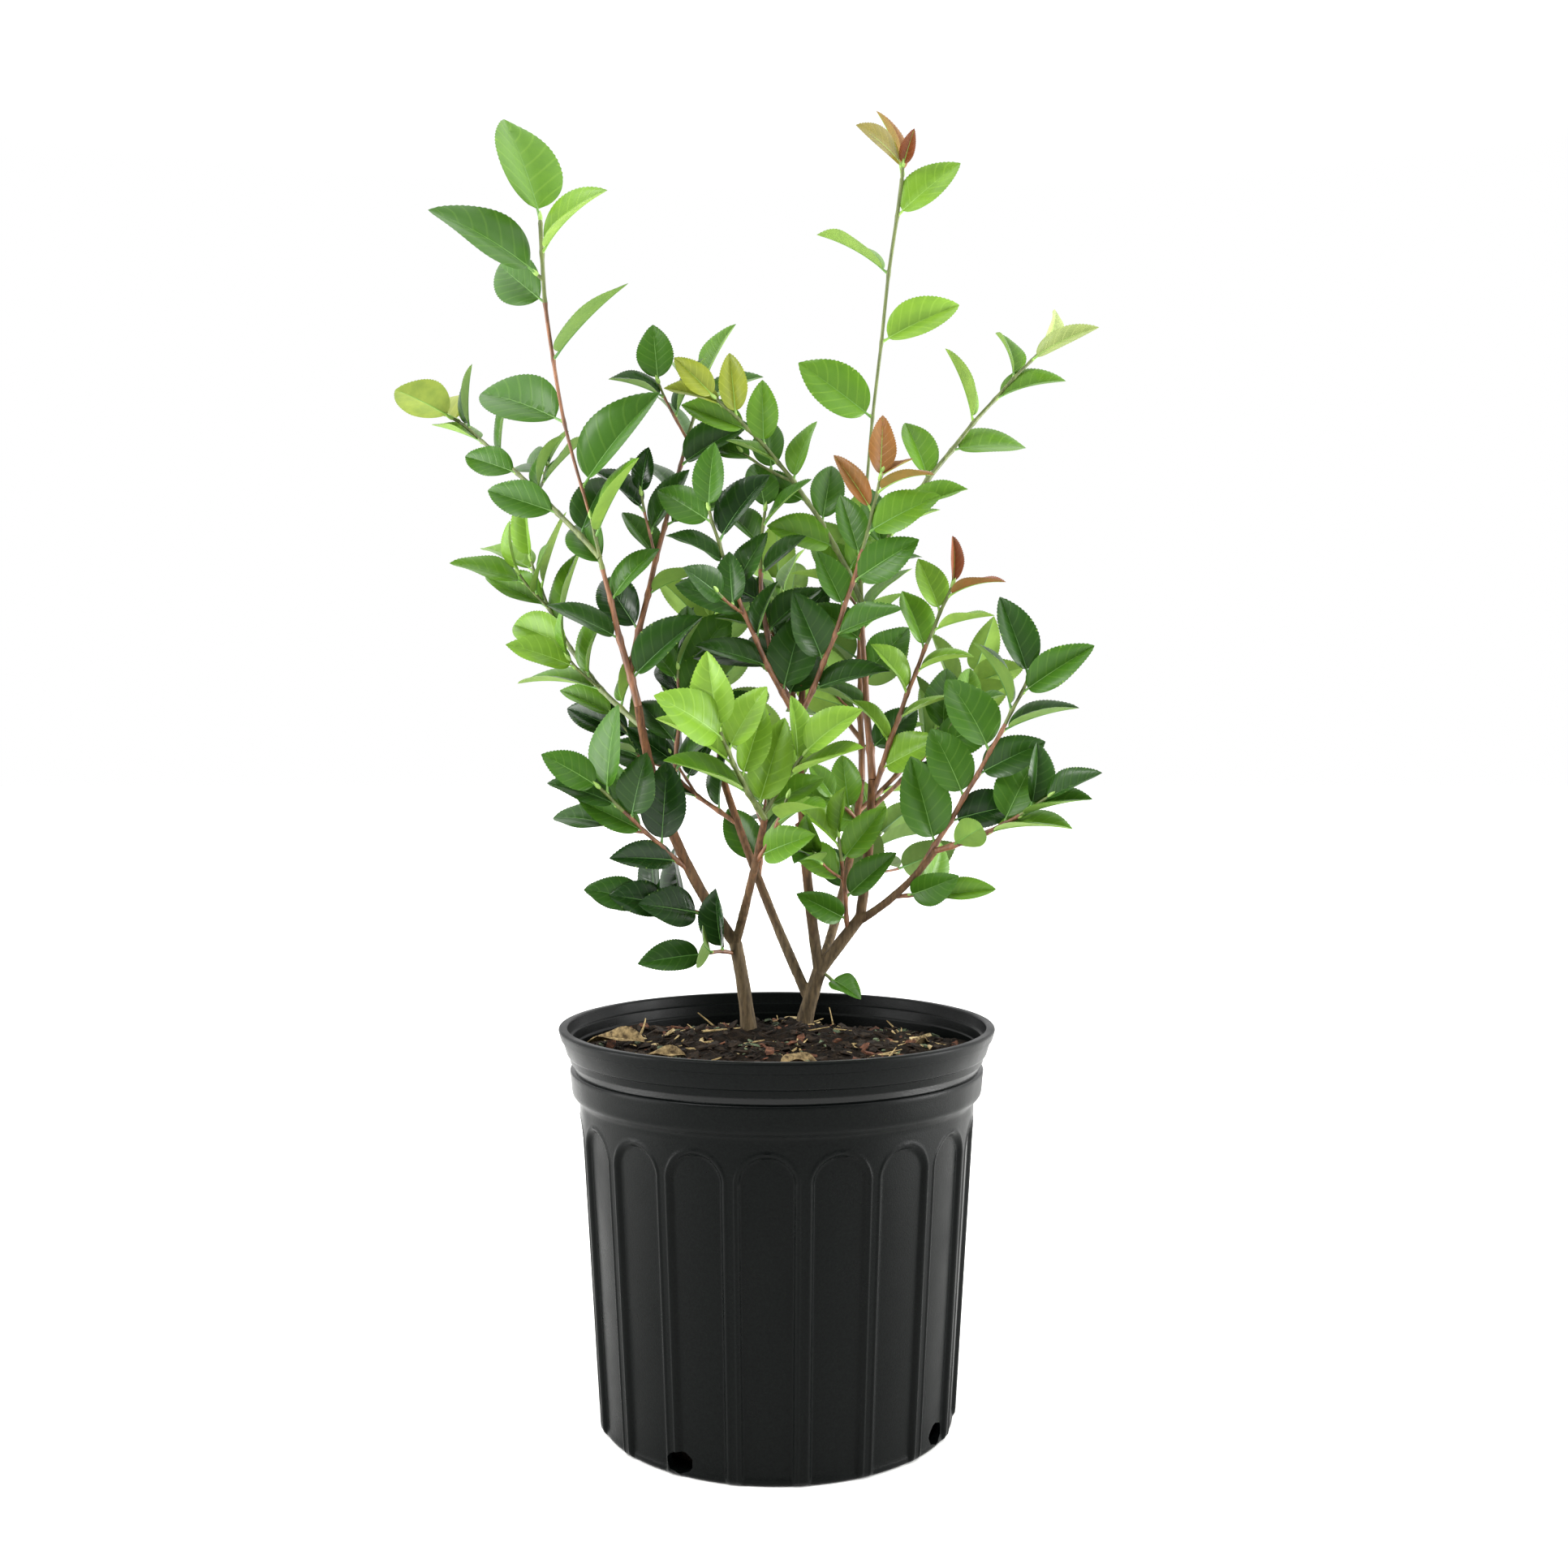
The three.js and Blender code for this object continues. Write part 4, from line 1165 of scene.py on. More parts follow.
class Plant:
    """The whole shrub, grown by the rule."""

    LIMB_SIDES, STEM_SIDES = 5, 3  # of the tubes in the crossing test
    TWIG_LEAVES = 3
    TWIG_FIRST = 0.4  # where a twig's leaves begin, as a share of its length
    TWIG_LEAF = 0.86  # their size against the shoot's own leaves
    TWIG_LENGTH = (26.0, 44.0)
    TWIG_RADIUS, SPROUT_RADIUS = (1.0, 0.75), (1.2, 0.9)
    TWIG_SPREAD = 46.0  # angle between a twig and its shoot
    TWIG_LIFT = 0.7  # lean at a twig's tip against the lean at its foot
    TWIG_JITTER_TURN, TWIG_JITTER_SPREAD = 40.0, 16.0
    TWIG_TURNS = (0.0, 60.0, -60.0, 120.0)  # about the shoot, that a crowded twig tries
    UNFURLING = (Tint.PALE, Tint.BRONZE, Tint.RUST)  # tints of leaves that still unfurl
    LIGHTER, DARKER = 0.72, 0.78  # draws above which a leaf is a shade lighter, or darker

    def __init__(self) -> None:
        """Grows limbs, shoots, leaves and side twigs, in that order."""
        self.draws = Draws(Rule.SEED)
        self.tones = Draws(Rule.SEED + 1)
        self.limbs = self.grow_limbs()
        self.shoots = self.grow_shoots()
        self.leaves: list[Leaf] = []
        self.taken = Clearance()
        for limb in self.limbs.values():
            self.taken.add(limb.patches(self.LIMB_SIDES))
        for shoot in self.shoots:
            self.taken.add(shoot.curve.patches(self.STEM_SIDES), shoot.number)
        for shoot in self.shoots:
            self.grow_leaves(shoot, [shoot.number])
        for shoot in list(self.shoots):
            self.grow_twigs(shoot)
        self.grow_sprouts()

    def grow_limbs(self) -> dict[str, Limb]:
        """Grows trunks and boughs.

        Returns:
            The limbs by name, carriers first.
        """
        limbs: dict[str, Limb] = {}
        for spec in TRUNKS:
            start = np.array([*spec.start, Rule.MIX_TOP - Rule.TRUNK_SINK])
            limbs[spec.name] = Limb(start, spec.heading, spec.lean, spec.length, spec.radius,
                                    Rule.TRUNK_FLARE)
        for spec in BOUGHS:
            start = limbs[spec.on].point(spec.at)
            limbs[spec.name] = Limb(start, spec.heading, spec.lean, spec.length, spec.radius)
        return limbs

    def shoot_from(self, spec: ShootSpec, shoots: dict[str, Shoot], mass: str,
                   radius: Pair) -> Shoot:
        """Makes one shoot.

        Args:
            spec: Its sizes.
            shoots: The shoots there are; one on a shoot joins its carrier's mass.
            mass: The mass of one that starts on a limb.
            radius: At foot and tip.

        Returns:
            The shoot, not yet with leaves.
        """
        carrier = shoots.get(spec.on)
        limb = carrier.curve if carrier else self.limbs[spec.on]
        curve = Limb(limb.point(spec.at), spec.heading, spec.lean, spec.length, radius)
        return Shoot(curve, carrier.mass if carrier else mass, spec.stem, len(shoots), spec)

    def grow_shoots(self) -> list[Shoot]:
        """Grows all shoots, each with a mass of its own if it starts on a limb.

        Returns:
            The shoots, carriers first.
        """
        shoots: dict[str, Shoot] = {}
        for spec in SHOOTS:
            carrier = shoots.get(spec.on)
            foot = Rule.FOOT_RADIUS + spec.length * Rule.RADIUS_PER_LENGTH
            if spec.at == 1:
                foot = (carrier.curve if carrier else self.limbs[spec.on]).radius[1]
            shoots[spec.name] = self.shoot_from(spec, shoots, spec.name + "_leaves",
                                                (foot, spec.tip_radius))
        return list(shoots.values())

    def grow_sprouts(self) -> None:
        """Grows the small late shoots. Each joins its carrier's mass, or the one above it."""
        shoots = {shoot.spec.name: shoot for shoot in self.shoots}
        for spec in SPROUTS:
            sprout = self.shoot_from(spec, shoots, "right_skirt_leaves", self.SPROUT_RADIUS)
            sprout.number = len(self.shoots)
            self.taken.add(sprout.curve.patches(self.STEM_SIDES), sprout.number)
            self.shoots.append(sprout)
            own = [shoots[spec.on].number] if spec.on in shoots else []
            self.grow_leaves(sprout, [sprout.number, *own])

    def grow_leaves(self, shoot: Shoot, own: Sequence[int]) -> None:
        """Grows the leaves of one shoot, each kept clear of what is there.

        Args:
            shoot: The shoot.
            own: Numbers of the shoots that its leaves may touch.
        """
        spec = shoot.spec
        for i in range(spec.leaves):
            draws = self.draws.several(7)
            share = mix(1.0, spec.first, (1 - i / max(spec.leaves - 1, 1)) ** Rule.CROWDING)
            last = i == spec.leaves - 1
            size = spec.leaf * (spec.tip if last else 1.0)
            turn = spec.fan + i * Rule.TURN + (draws[0] - 0.5) * Rule.JITTER_TURN
            for extra in Rule.TRIES:
                leaf = leaf_on(shoot.curve, share, turn + extra, size, last, draws)
                patches = leaf.patches()
                if leaf.inside() and not self.taken.crossed_by(patches, own):
                    self.taken.add(patches)
                    leaf.mass = shoot.mass
                    leaf.tint = self.tint(spec, i)
                    if leaf.tint in self.UNFURLING:
                        leaf.furl()
                    self.leaves.append(leaf)
                    shoot.joints.append((share, leaf.way))
                    break

    def tint(self, spec: ShootSpec, i: int) -> Tint:
        """The tint of a shoot's leaf: its own, a neighbouring one, or the young one near the tip.

        Args:
            spec: The shoot's sizes and tints.
            i: The leaf's number from the foot.

        Returns:
            The tint.
        """
        greens = [Tint.DEEP, Tint.DARK, Tint.MID, Tint.GRASS, Tint.FRESH, Tint.LIME]
        base = spec.young if i >= spec.leaves - spec.young_leaves else spec.tint
        if base not in greens:
            return base
        step = (self.tones.next() > self.LIGHTER) - (self.tones.next() > self.DARKER)
        return greens[min(max(greens.index(base) + step, 0), len(greens) - 1)]

    def grow_twigs(self, shoot: Shoot) -> None:
        """Grows the side twigs of one shoot from the axils of its leaves.

        Args:
            shoot: The shoot that carries them.
        """
        spec = shoot.spec
        joints = shoot.joints[:-2]
        for k in range(min(spec.twigs, len(joints))):
            share, way = joints[round((k + 0.5) * len(joints) / spec.twigs - 0.5)]
            draws = self.draws.several(3)
            along = shoot.curve.along(share)
            for turn in self.TWIG_TURNS:
                twig = self.twig_at(shoot, share, along, way, turn, draws)
                patches = twig.curve.patches(self.STEM_SIDES)
                if not self.taken.crossed_by(patches[:-self.STEM_SIDES], [shoot.number]):
                    self.taken.add(patches, twig.number)
                    self.shoots.append(twig)
                    self.grow_leaves(twig, [twig.number])
                    break

    def twig_at(self, shoot: Shoot, share: float, along: Array, way: Array, turn: float,
                draws: Sequence[float]) -> Shoot:
        """One side twig.

        Args:
            shoot: The shoot that carries it.
            share: Where it starts.
            along: The shoot's direction there.
            way: The direction of the leaf in whose axil it stands.
            turn: How far it is turned about the shoot from that leaf, in degrees.
            draws: Three numbers from 0 to 1.

        Returns:
            The twig.
        """
        out = across(way, along)
        angle = math.radians(turn + (draws[0] - 0.5) * self.TWIG_JITTER_TURN)
        out = out * math.cos(angle) + np.cross(along, out) * math.sin(angle)
        spread = math.radians(self.TWIG_SPREAD + (draws[1] - 0.5) * self.TWIG_JITTER_SPREAD)
        heading_way = along * math.cos(spread) + out * math.sin(spread)
        lean = math.degrees(math.acos(max(-1.0, min(1.0, heading_way[2]))))
        heading = math.degrees(math.atan2(heading_way[1], heading_way[0]))
        length = mix(*self.TWIG_LENGTH, draws[2])
        curve = Limb(shoot.curve.point(share), heading, (lean, lean * self.TWIG_LIFT), length,
                     self.TWIG_RADIUS)
        spec = ShootSpec(shoot.spec.name + "_twig", shoot.spec.name, share, heading, curve.lean,
                         length, self.TWIG_LEAVES, shoot.spec.leaf * self.TWIG_LEAF,
                         first=self.TWIG_FIRST, tint=shoot.spec.tint, young=shoot.spec.tint,
                         young_leaves=0, stem=shoot.stem)
        return Shoot(curve, shoot.mass, shoot.stem, len(self.shoots), spec)


# ---------------------------------------------------------------- leaf blades


@dataclass(frozen=True)
class Blade:
    """The camellia's own leaf outline, carried out as a closed mesh with teeth and puckers."""

    rows: int = 44
    columns: int = 9
    root_power: float = 0.58  # below 1, the outline leaves the stalk in a round shoulder
    tip_power: float = 0.92  # nearer 1, the outline runs to a sharper tip
    tooth_mm: float = 0.65
    teeth_from: float = 0.22  # share of the blade where the teeth begin
    teeth_fade: Pair = (0.15, 0.06)  # shares over which they grow and die away
    thick_mm: float = 0.42
    pucker_mm: float = 0.3
    pucker_gain: float = 2.2  # brings the relief between midrib and margin up to that height
    veins: float = 7.0
    sweep_forward: float = 1.5
    fold_gain: float = 1.15  # the real leaf folds a little more than its solid
    small_half: float = 6.0  # narrower than this, a blade's relief gets less
    thin_half: float = 4.0  # narrower than this, it gets thinner
    turning_share: float = 0.4  # the place about which it twists
    column_power: float = 0.9  # below 1, columns stand closer together towards the margins

    UV_NAME = "blade"

    def topology(self) -> tuple[list[Array], list[int]]:
        """Faces of one blade.

        Returns:
            Arrays of corner numbers, and the material number of each array: 0 on the upper side
            and 1 below.
        """
        wide, long = self.columns, self.rows - 1
        root, tip = 0, 1
        upper = 2 + np.arange(long * wide).reshape(long, wide)
        lower = upper.copy()
        lower[:, 1:-1] = 2 + long * wide + np.arange(long * (wide - 2)).reshape(long, wide - 2)
        faces, marks = [], []
        for grid, mark in ((upper, 0), (lower, 1)):
            a, b, c, d = grid[:-1, :-1], grid[:-1, 1:], grid[1:, 1:], grid[1:, :-1]
            quads = np.stack([a, b, c, d] if mark == 0 else [d, c, b, a], -1).reshape(-1, 4)
            first = np.stack([np.full(wide - 1, root), grid[0, 1:], grid[0, :-1]], -1)
            last = np.stack([np.full(wide - 1, tip), grid[-1, :-1], grid[-1, 1:]], -1)
            ends = np.concatenate([first, last])
            faces += [quads, ends if mark == 0 else ends[:, ::-1]]
            marks += [mark, mark]
        return faces, marks

    def outline(self, share: Array) -> Array:
        """Half width along the blade.

        Args:
            share: Shares of the blade's length.

        Returns:
            Shares of its widest half width.
        """
        peak = self.root_power / (self.root_power + self.tip_power)
        widest = peak ** self.root_power * (1 - peak) ** self.tip_power
        return share ** self.root_power * (1 - share) ** self.tip_power / widest

    def corners(self, leaf: Leaf, wave: float, twist: float) -> tuple[Array, Array]:
        """Corners of one leaf's blade.

        Args:
            leaf: The leaf.
            wave: How much its margin rolls, in millimetres.
            twist: How far the blade turns about its midrib from root to tip, in radians.

        Returns:
            The corners and their pattern coordinates.
        """
        share = np.linspace(0, 1, self.rows + 1)[1:-1]
        tooth = np.where(np.arange(len(share)) % 2 == 0, 1.0, 0.0)
        fade = (smooth_step((share - self.teeth_from) / self.teeth_fade[0])
                * smooth_step((1 - share) / self.teeth_fade[1]))
        half = leaf.width / 2 * self.outline(share)
        reach = 1 + tooth * fade * self.tooth_mm / np.maximum(half, 1.0)
        s = np.linspace(-1, 1, self.columns)
        outwards = np.sign(s) * np.abs(s) ** self.column_power
        place, face = leaf.spine((Rule.STALK + share) / (1 + Rule.STALK))
        width = half[:, None] * outwards
        width[:, [0, -1]] *= reach[:, None]
        fold = leaf.fold * self.fold_gain
        rise = np.abs(width) * math.sin(fold) * (1 - 0.3 * s ** 2)
        phase = 2 * math.pi * (share[:, None] * self.veins - np.abs(s) * self.sweep_forward)
        soft = np.minimum(1.0, half / self.small_half)[:, None]
        pucker = -self.pucker_mm * soft * np.cos(phase) * np.abs(s) * (1 - np.abs(s))
        rise += pucker * self.pucker_gain
        rise += wave * np.sin(share[:, None] * 9 + np.sign(s) * 1.3) * np.abs(s) ** 3 * soft
        flat = width * math.cos(fold)
        turn = (share - self.turning_share)[:, None] * twist
        flat, rise = (flat * np.cos(turn) - rise * np.sin(turn),
                      flat * np.sin(turn) + rise * np.cos(turn))
        middle = place[:, None] + flat[..., None] * leaf.side + rise[..., None] * face[:, None]
        thick = (self.thick_mm / 2 * (1 - np.abs(s) ** 4)
                 * np.minimum(1, half / self.thin_half)[:, None])
        raised = face[:, None] * thick[..., None]
        ends = leaf.spine(np.array([Rule.STALK / (1 + Rule.STALK), 1.0]))[0]
        corners = np.concatenate([
            ends, (middle + raised).reshape(-1, 3), (middle - raised)[:, 1:-1].reshape(-1, 3)])
        uv = np.stack(np.broadcast_arrays((s + 1) / 2, share[:, None]), -1)
        uvs = np.concatenate([[[0.5, 0.0], [0.5, 1.0]], uv.reshape(-1, 2),
                              uv[:, 1:-1].reshape(-1, 2)])
        return corners, uvs


# ---------------------------------------------------------------- sub-assemblies


def place_piece(piece: Object, replaced: Sequence[str]) -> Object:
    """Seats a piece in the frame.

    Args:
        piece: The piece, already in place.
        replaced: The nodes that it stands for.

    Returns:
        The same piece.
    """
    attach(piece, "root")
    if replaced:
        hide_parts(*replaced)
    LOG.info("%s: %d faces", piece.name, len(piece.data.polygons))
    return piece


@dataclass
class NurseryPot:
    """The blow-moulded pot: fluted wall, collar, groove and flared lip. Millimetres."""

    height: float = 254.6
    rim_radius: float = 140.0
    throat_radius: float = 134.4
    neck_radius: float = 132.6
    lip_foot: float = 237.6
    collar: Pair = (213.5, 228.0)
    groove: Pair = (228.6, 232.4)
    groove_depth: float = 3.0
    body_top: float = 208.0
    body_top_radius: float = 126.8
    foot: float = 4.5
    foot_radius: float = 115.0
    base_radius: float = 110.0
    wall: float = 2.4
    floor: float = 3.0
    flutes: int = 18
    flute_first: float = -92.4
    flute_arc: float = 16.2
    flute_top: float = 198.0
    flute_depth: float = 2.5
    flute_wall: float = 2.4
    bead: Triple = (0.55, 1.1, 0.8)  # round each flute: height, place, width
    columns_per_flute: int = 52
    lip_wave: Pair = (0.35, 0.45)  # unevenness of the lip: height, size over radius
    rim_edge: float = 1.6  # rounding of the lip's outer edge
    throat_edge: float = 1.2  # and of its inner edge
    drains: int = 4
    drain_first: float = -120.0
    drain_size: Triple = (17.0, 13.0, 9.2)  # width, height, middle
    drain_rough: Pair = (0.9, 1.1)  # how uneven a hole's edge is
    drain_seed: int = 77

    def wall_radius(self, z: Array) -> Array:
        """Radius of the plain wall at a height."""
        share = (z - self.foot) / (self.body_top - self.foot)
        return mix(self.foot_radius, self.body_top_radius, share)

    def recess(self, angle: Array, z: float) -> Array:
        """How deep the flutes are pressed in at a height, round the pot.

        Args:
            angle: Headings in degrees.
            z: The height.

        Returns:
            Depths, one for each heading.
        """
        pitch = 360 / self.flutes
        off = np.abs((angle - self.flute_first + pitch / 2) % pitch - pitch / 2)
        radius = self.wall_radius(z)
        aside = radius * np.radians(off)
        half = radius * math.radians(self.flute_arc / 2)
        crown = self.wall_radius(self.flute_top) * math.radians(self.flute_arc / 2)
        spring = self.flute_top - crown
        edge = half - aside if z < spring else crown - np.hypot(aside, z - spring)
        tall, place, wide = self.bead
        ridge = tall * np.exp(-((edge + place) / wide) ** 2)
        return self.flute_depth * smooth_step(edge / self.flute_wall) - ridge

    def outer_rows(self) -> list[Pair]:
        """The outside of the pot, with its lip.

        Returns:
            Rows of radius and height, from the underside up to the lip.
        """
        base, neck, rim = self.base_radius, self.neck_radius, self.rim_radius
        rows = [(40.0, 0.0), (80.0, 0.0), (base - 3, 0.0), (base - 0.8, 0.0)]
        rows += [(mix(base, self.foot_radius, sine), 0.15 + (self.foot - 0.15) * (1 - cosine))
                 for sine, cosine in quarter(6)]
        heights = np.concatenate([np.linspace(7, 168, 12), np.linspace(171, 204, 28)])
        rows += [(float(self.wall_radius(z)), float(z)) for z in heights]
        low, high = self.collar
        for share in np.linspace(0, 1, 7):
            eased = float(smooth_step(np.array(share)))
            rows.append((mix(self.body_top_radius - 0.2, neck - 1.2, eased),
                         mix(206.5, low + 0.6, share)))
        rows += [(neck - 0.9, low + 2.4), (neck - 0.6, low + 7), (neck - 0.1, high - 3),
                 (neck + 0.1, high - 1), (neck - 0.1, high - 0.3), (neck - 0.8, high + 0.3)]
        low, high = self.groove
        inner, foot = neck - self.groove_depth, self.lip_foot
        rows += [(inner, low + 0.3), (inner - 0.2, (low + high) / 2), (inner + 0.1, high - 0.4),
                 (neck - 0.6, high + 0.2), (neck - 0.1, high + 0.9), (neck, foot - 1.6),
                 (neck + 0.3, foot - 0.7), (neck + 1.7, foot + 0.1), (neck + 2.3, foot + 1)]
        top = self.height
        rows += [(rim - 2.9, top - 8.6), (rim - 2.5, top - 7.4), (rim - 1.5, top - 7.0),
                 (rim - 0.5, top - 3.6)]
        edge = self.rim_edge
        return rows + [(rim - edge * (1 - cosine), top - edge * (1 - sine))
                       for sine, cosine in quarter(6)]

    def inner_rows(self) -> list[Pair]:
        """The inside of the pot.

        Returns:
            Rows of radius and height, from the lip down to the floor.
        """
        edge, neck = self.throat_edge, self.neck_radius - self.wall
        rows = [(self.throat_radius + edge * (1 - sine), self.height - edge * (1 - cosine))
                for sine, cosine in quarter(4)]
        rows += [(neck + 3.4, 248.4), (neck + 3.0, 247.6), (neck + 1.4, 247.0),
                 (neck + 1.1, 246.2), (neck + 0.9, 241.4), (neck + 0.7, 240.8),
                 (neck + 0.1, 240.2), (neck, 239.4), (neck, self.collar[0] + 3)]
        inset = self.wall + self.flute_depth
        rows += [(self.body_top_radius - inset, self.body_top),
                 (float(self.wall_radius(9.0)) - inset, 9.0),
                 (self.base_radius - 3, self.floor), (50.0, self.floor)]
        return rows

    def build(self) -> Mesh:
        """The pot with its drain holes cut.

        Returns:
            The closed mesh.
        """
        outer = self.outer_rows()
        rows = outer + self.inner_rows()
        count = self.flutes * self.columns_per_flute
        # more columns at the flutes' edges than on their flats
        pitch = 360 / self.flutes
        step = np.arange(self.columns_per_flute) / self.columns_per_flute
        within = np.interp(step, (0, 0.05, 0.25, 0.75, 0.95, 1), (-10, -9.3, -6.9, 6.9, 9.3, 10))
        angle = self.flute_first + (np.arange(self.flutes)[:, None] * pitch + within).ravel()
        turn = np.radians(angle)
        high, size = self.lip_wave
        rings = []
        for i, (radius, z) in enumerate(rows):
            inside = i >= len(outer)
            ring = np.full(count, radius)
            if not inside and self.foot * 0.2 < z < self.flute_top + 4:
                ring = ring - self.recess(angle, z) * min(1.0, z / 6)
            if z > self.lip_foot:
                uneven = [rumple(math.cos(t), math.sin(t), z / 60, size) for t in turn]
                ring = ring + high * np.array(uneven) * (1 if inside else 0.4)
            level = np.full(count, z)
            rings.append(np.stack([ring * np.cos(turn), ring * np.sin(turn), level], -1))
        parts = MeshParts()
        parts.add(np.concatenate([*rings, [[0, 0, 0], [0, 0, self.floor]]]),
                  tube_faces(len(rows), count))
        pot = parts.piece("pot_blank", [])
        cutter = self.drain_cutters()
        cut = pot.modifiers.new("drains", "BOOLEAN")
        cut.operation, cut.object, cut.solver = "DIFFERENCE", cutter, "MANIFOLD"
        mesh = evaluated(pot)
        bpy.data.objects.remove(cutter)
        return mesh

    def drain_cutters(self) -> Object:
        """Rough-edged bars that cut the drain holes through the corner of wall and floor.

        Returns:
            The bars as one object.
        """
        width, height, middle = self.drain_size
        reaches = (self.base_radius - 14, self.base_radius + 20)
        sides = 16
        angle = np.arange(sides) * 2 * math.pi / sides
        parts = MeshParts()
        draws = Draws(self.drain_seed)
        for i in range(self.drains):
            turn = math.radians(self.drain_first + i * 360 / self.drains)
            out = np.array([math.cos(turn), math.sin(turn), 0.0])
            aside = np.array([-math.sin(turn), math.cos(turn), 0.0])
            rough = np.array([draws.between(*self.drain_rough) for _ in angle])
            ring = (np.cos(angle) * width / 2 * rough)[:, None] * aside
            ring = ring + (np.sin(angle) * height / 2 * rough)[:, None] * UP + UP * middle
            loops = [out * reach + ring for reach in reaches]
            ends = [out * reach + UP * middle for reach in reaches]
            parts.add(np.concatenate([*loops, ends]), tube_faces(2, sides))
        return parts.piece("drain_cutters", [])

    def dress(self) -> None:
        """Builds the pot, gives it its plastic and seats it."""
        plastic = MouldedPolyethylene("moulded_polyethylene").material()
        piece = finish_mesh(self.build(), "nursery_pot", [plastic], 38)
        place_piece(piece, ["pot"])


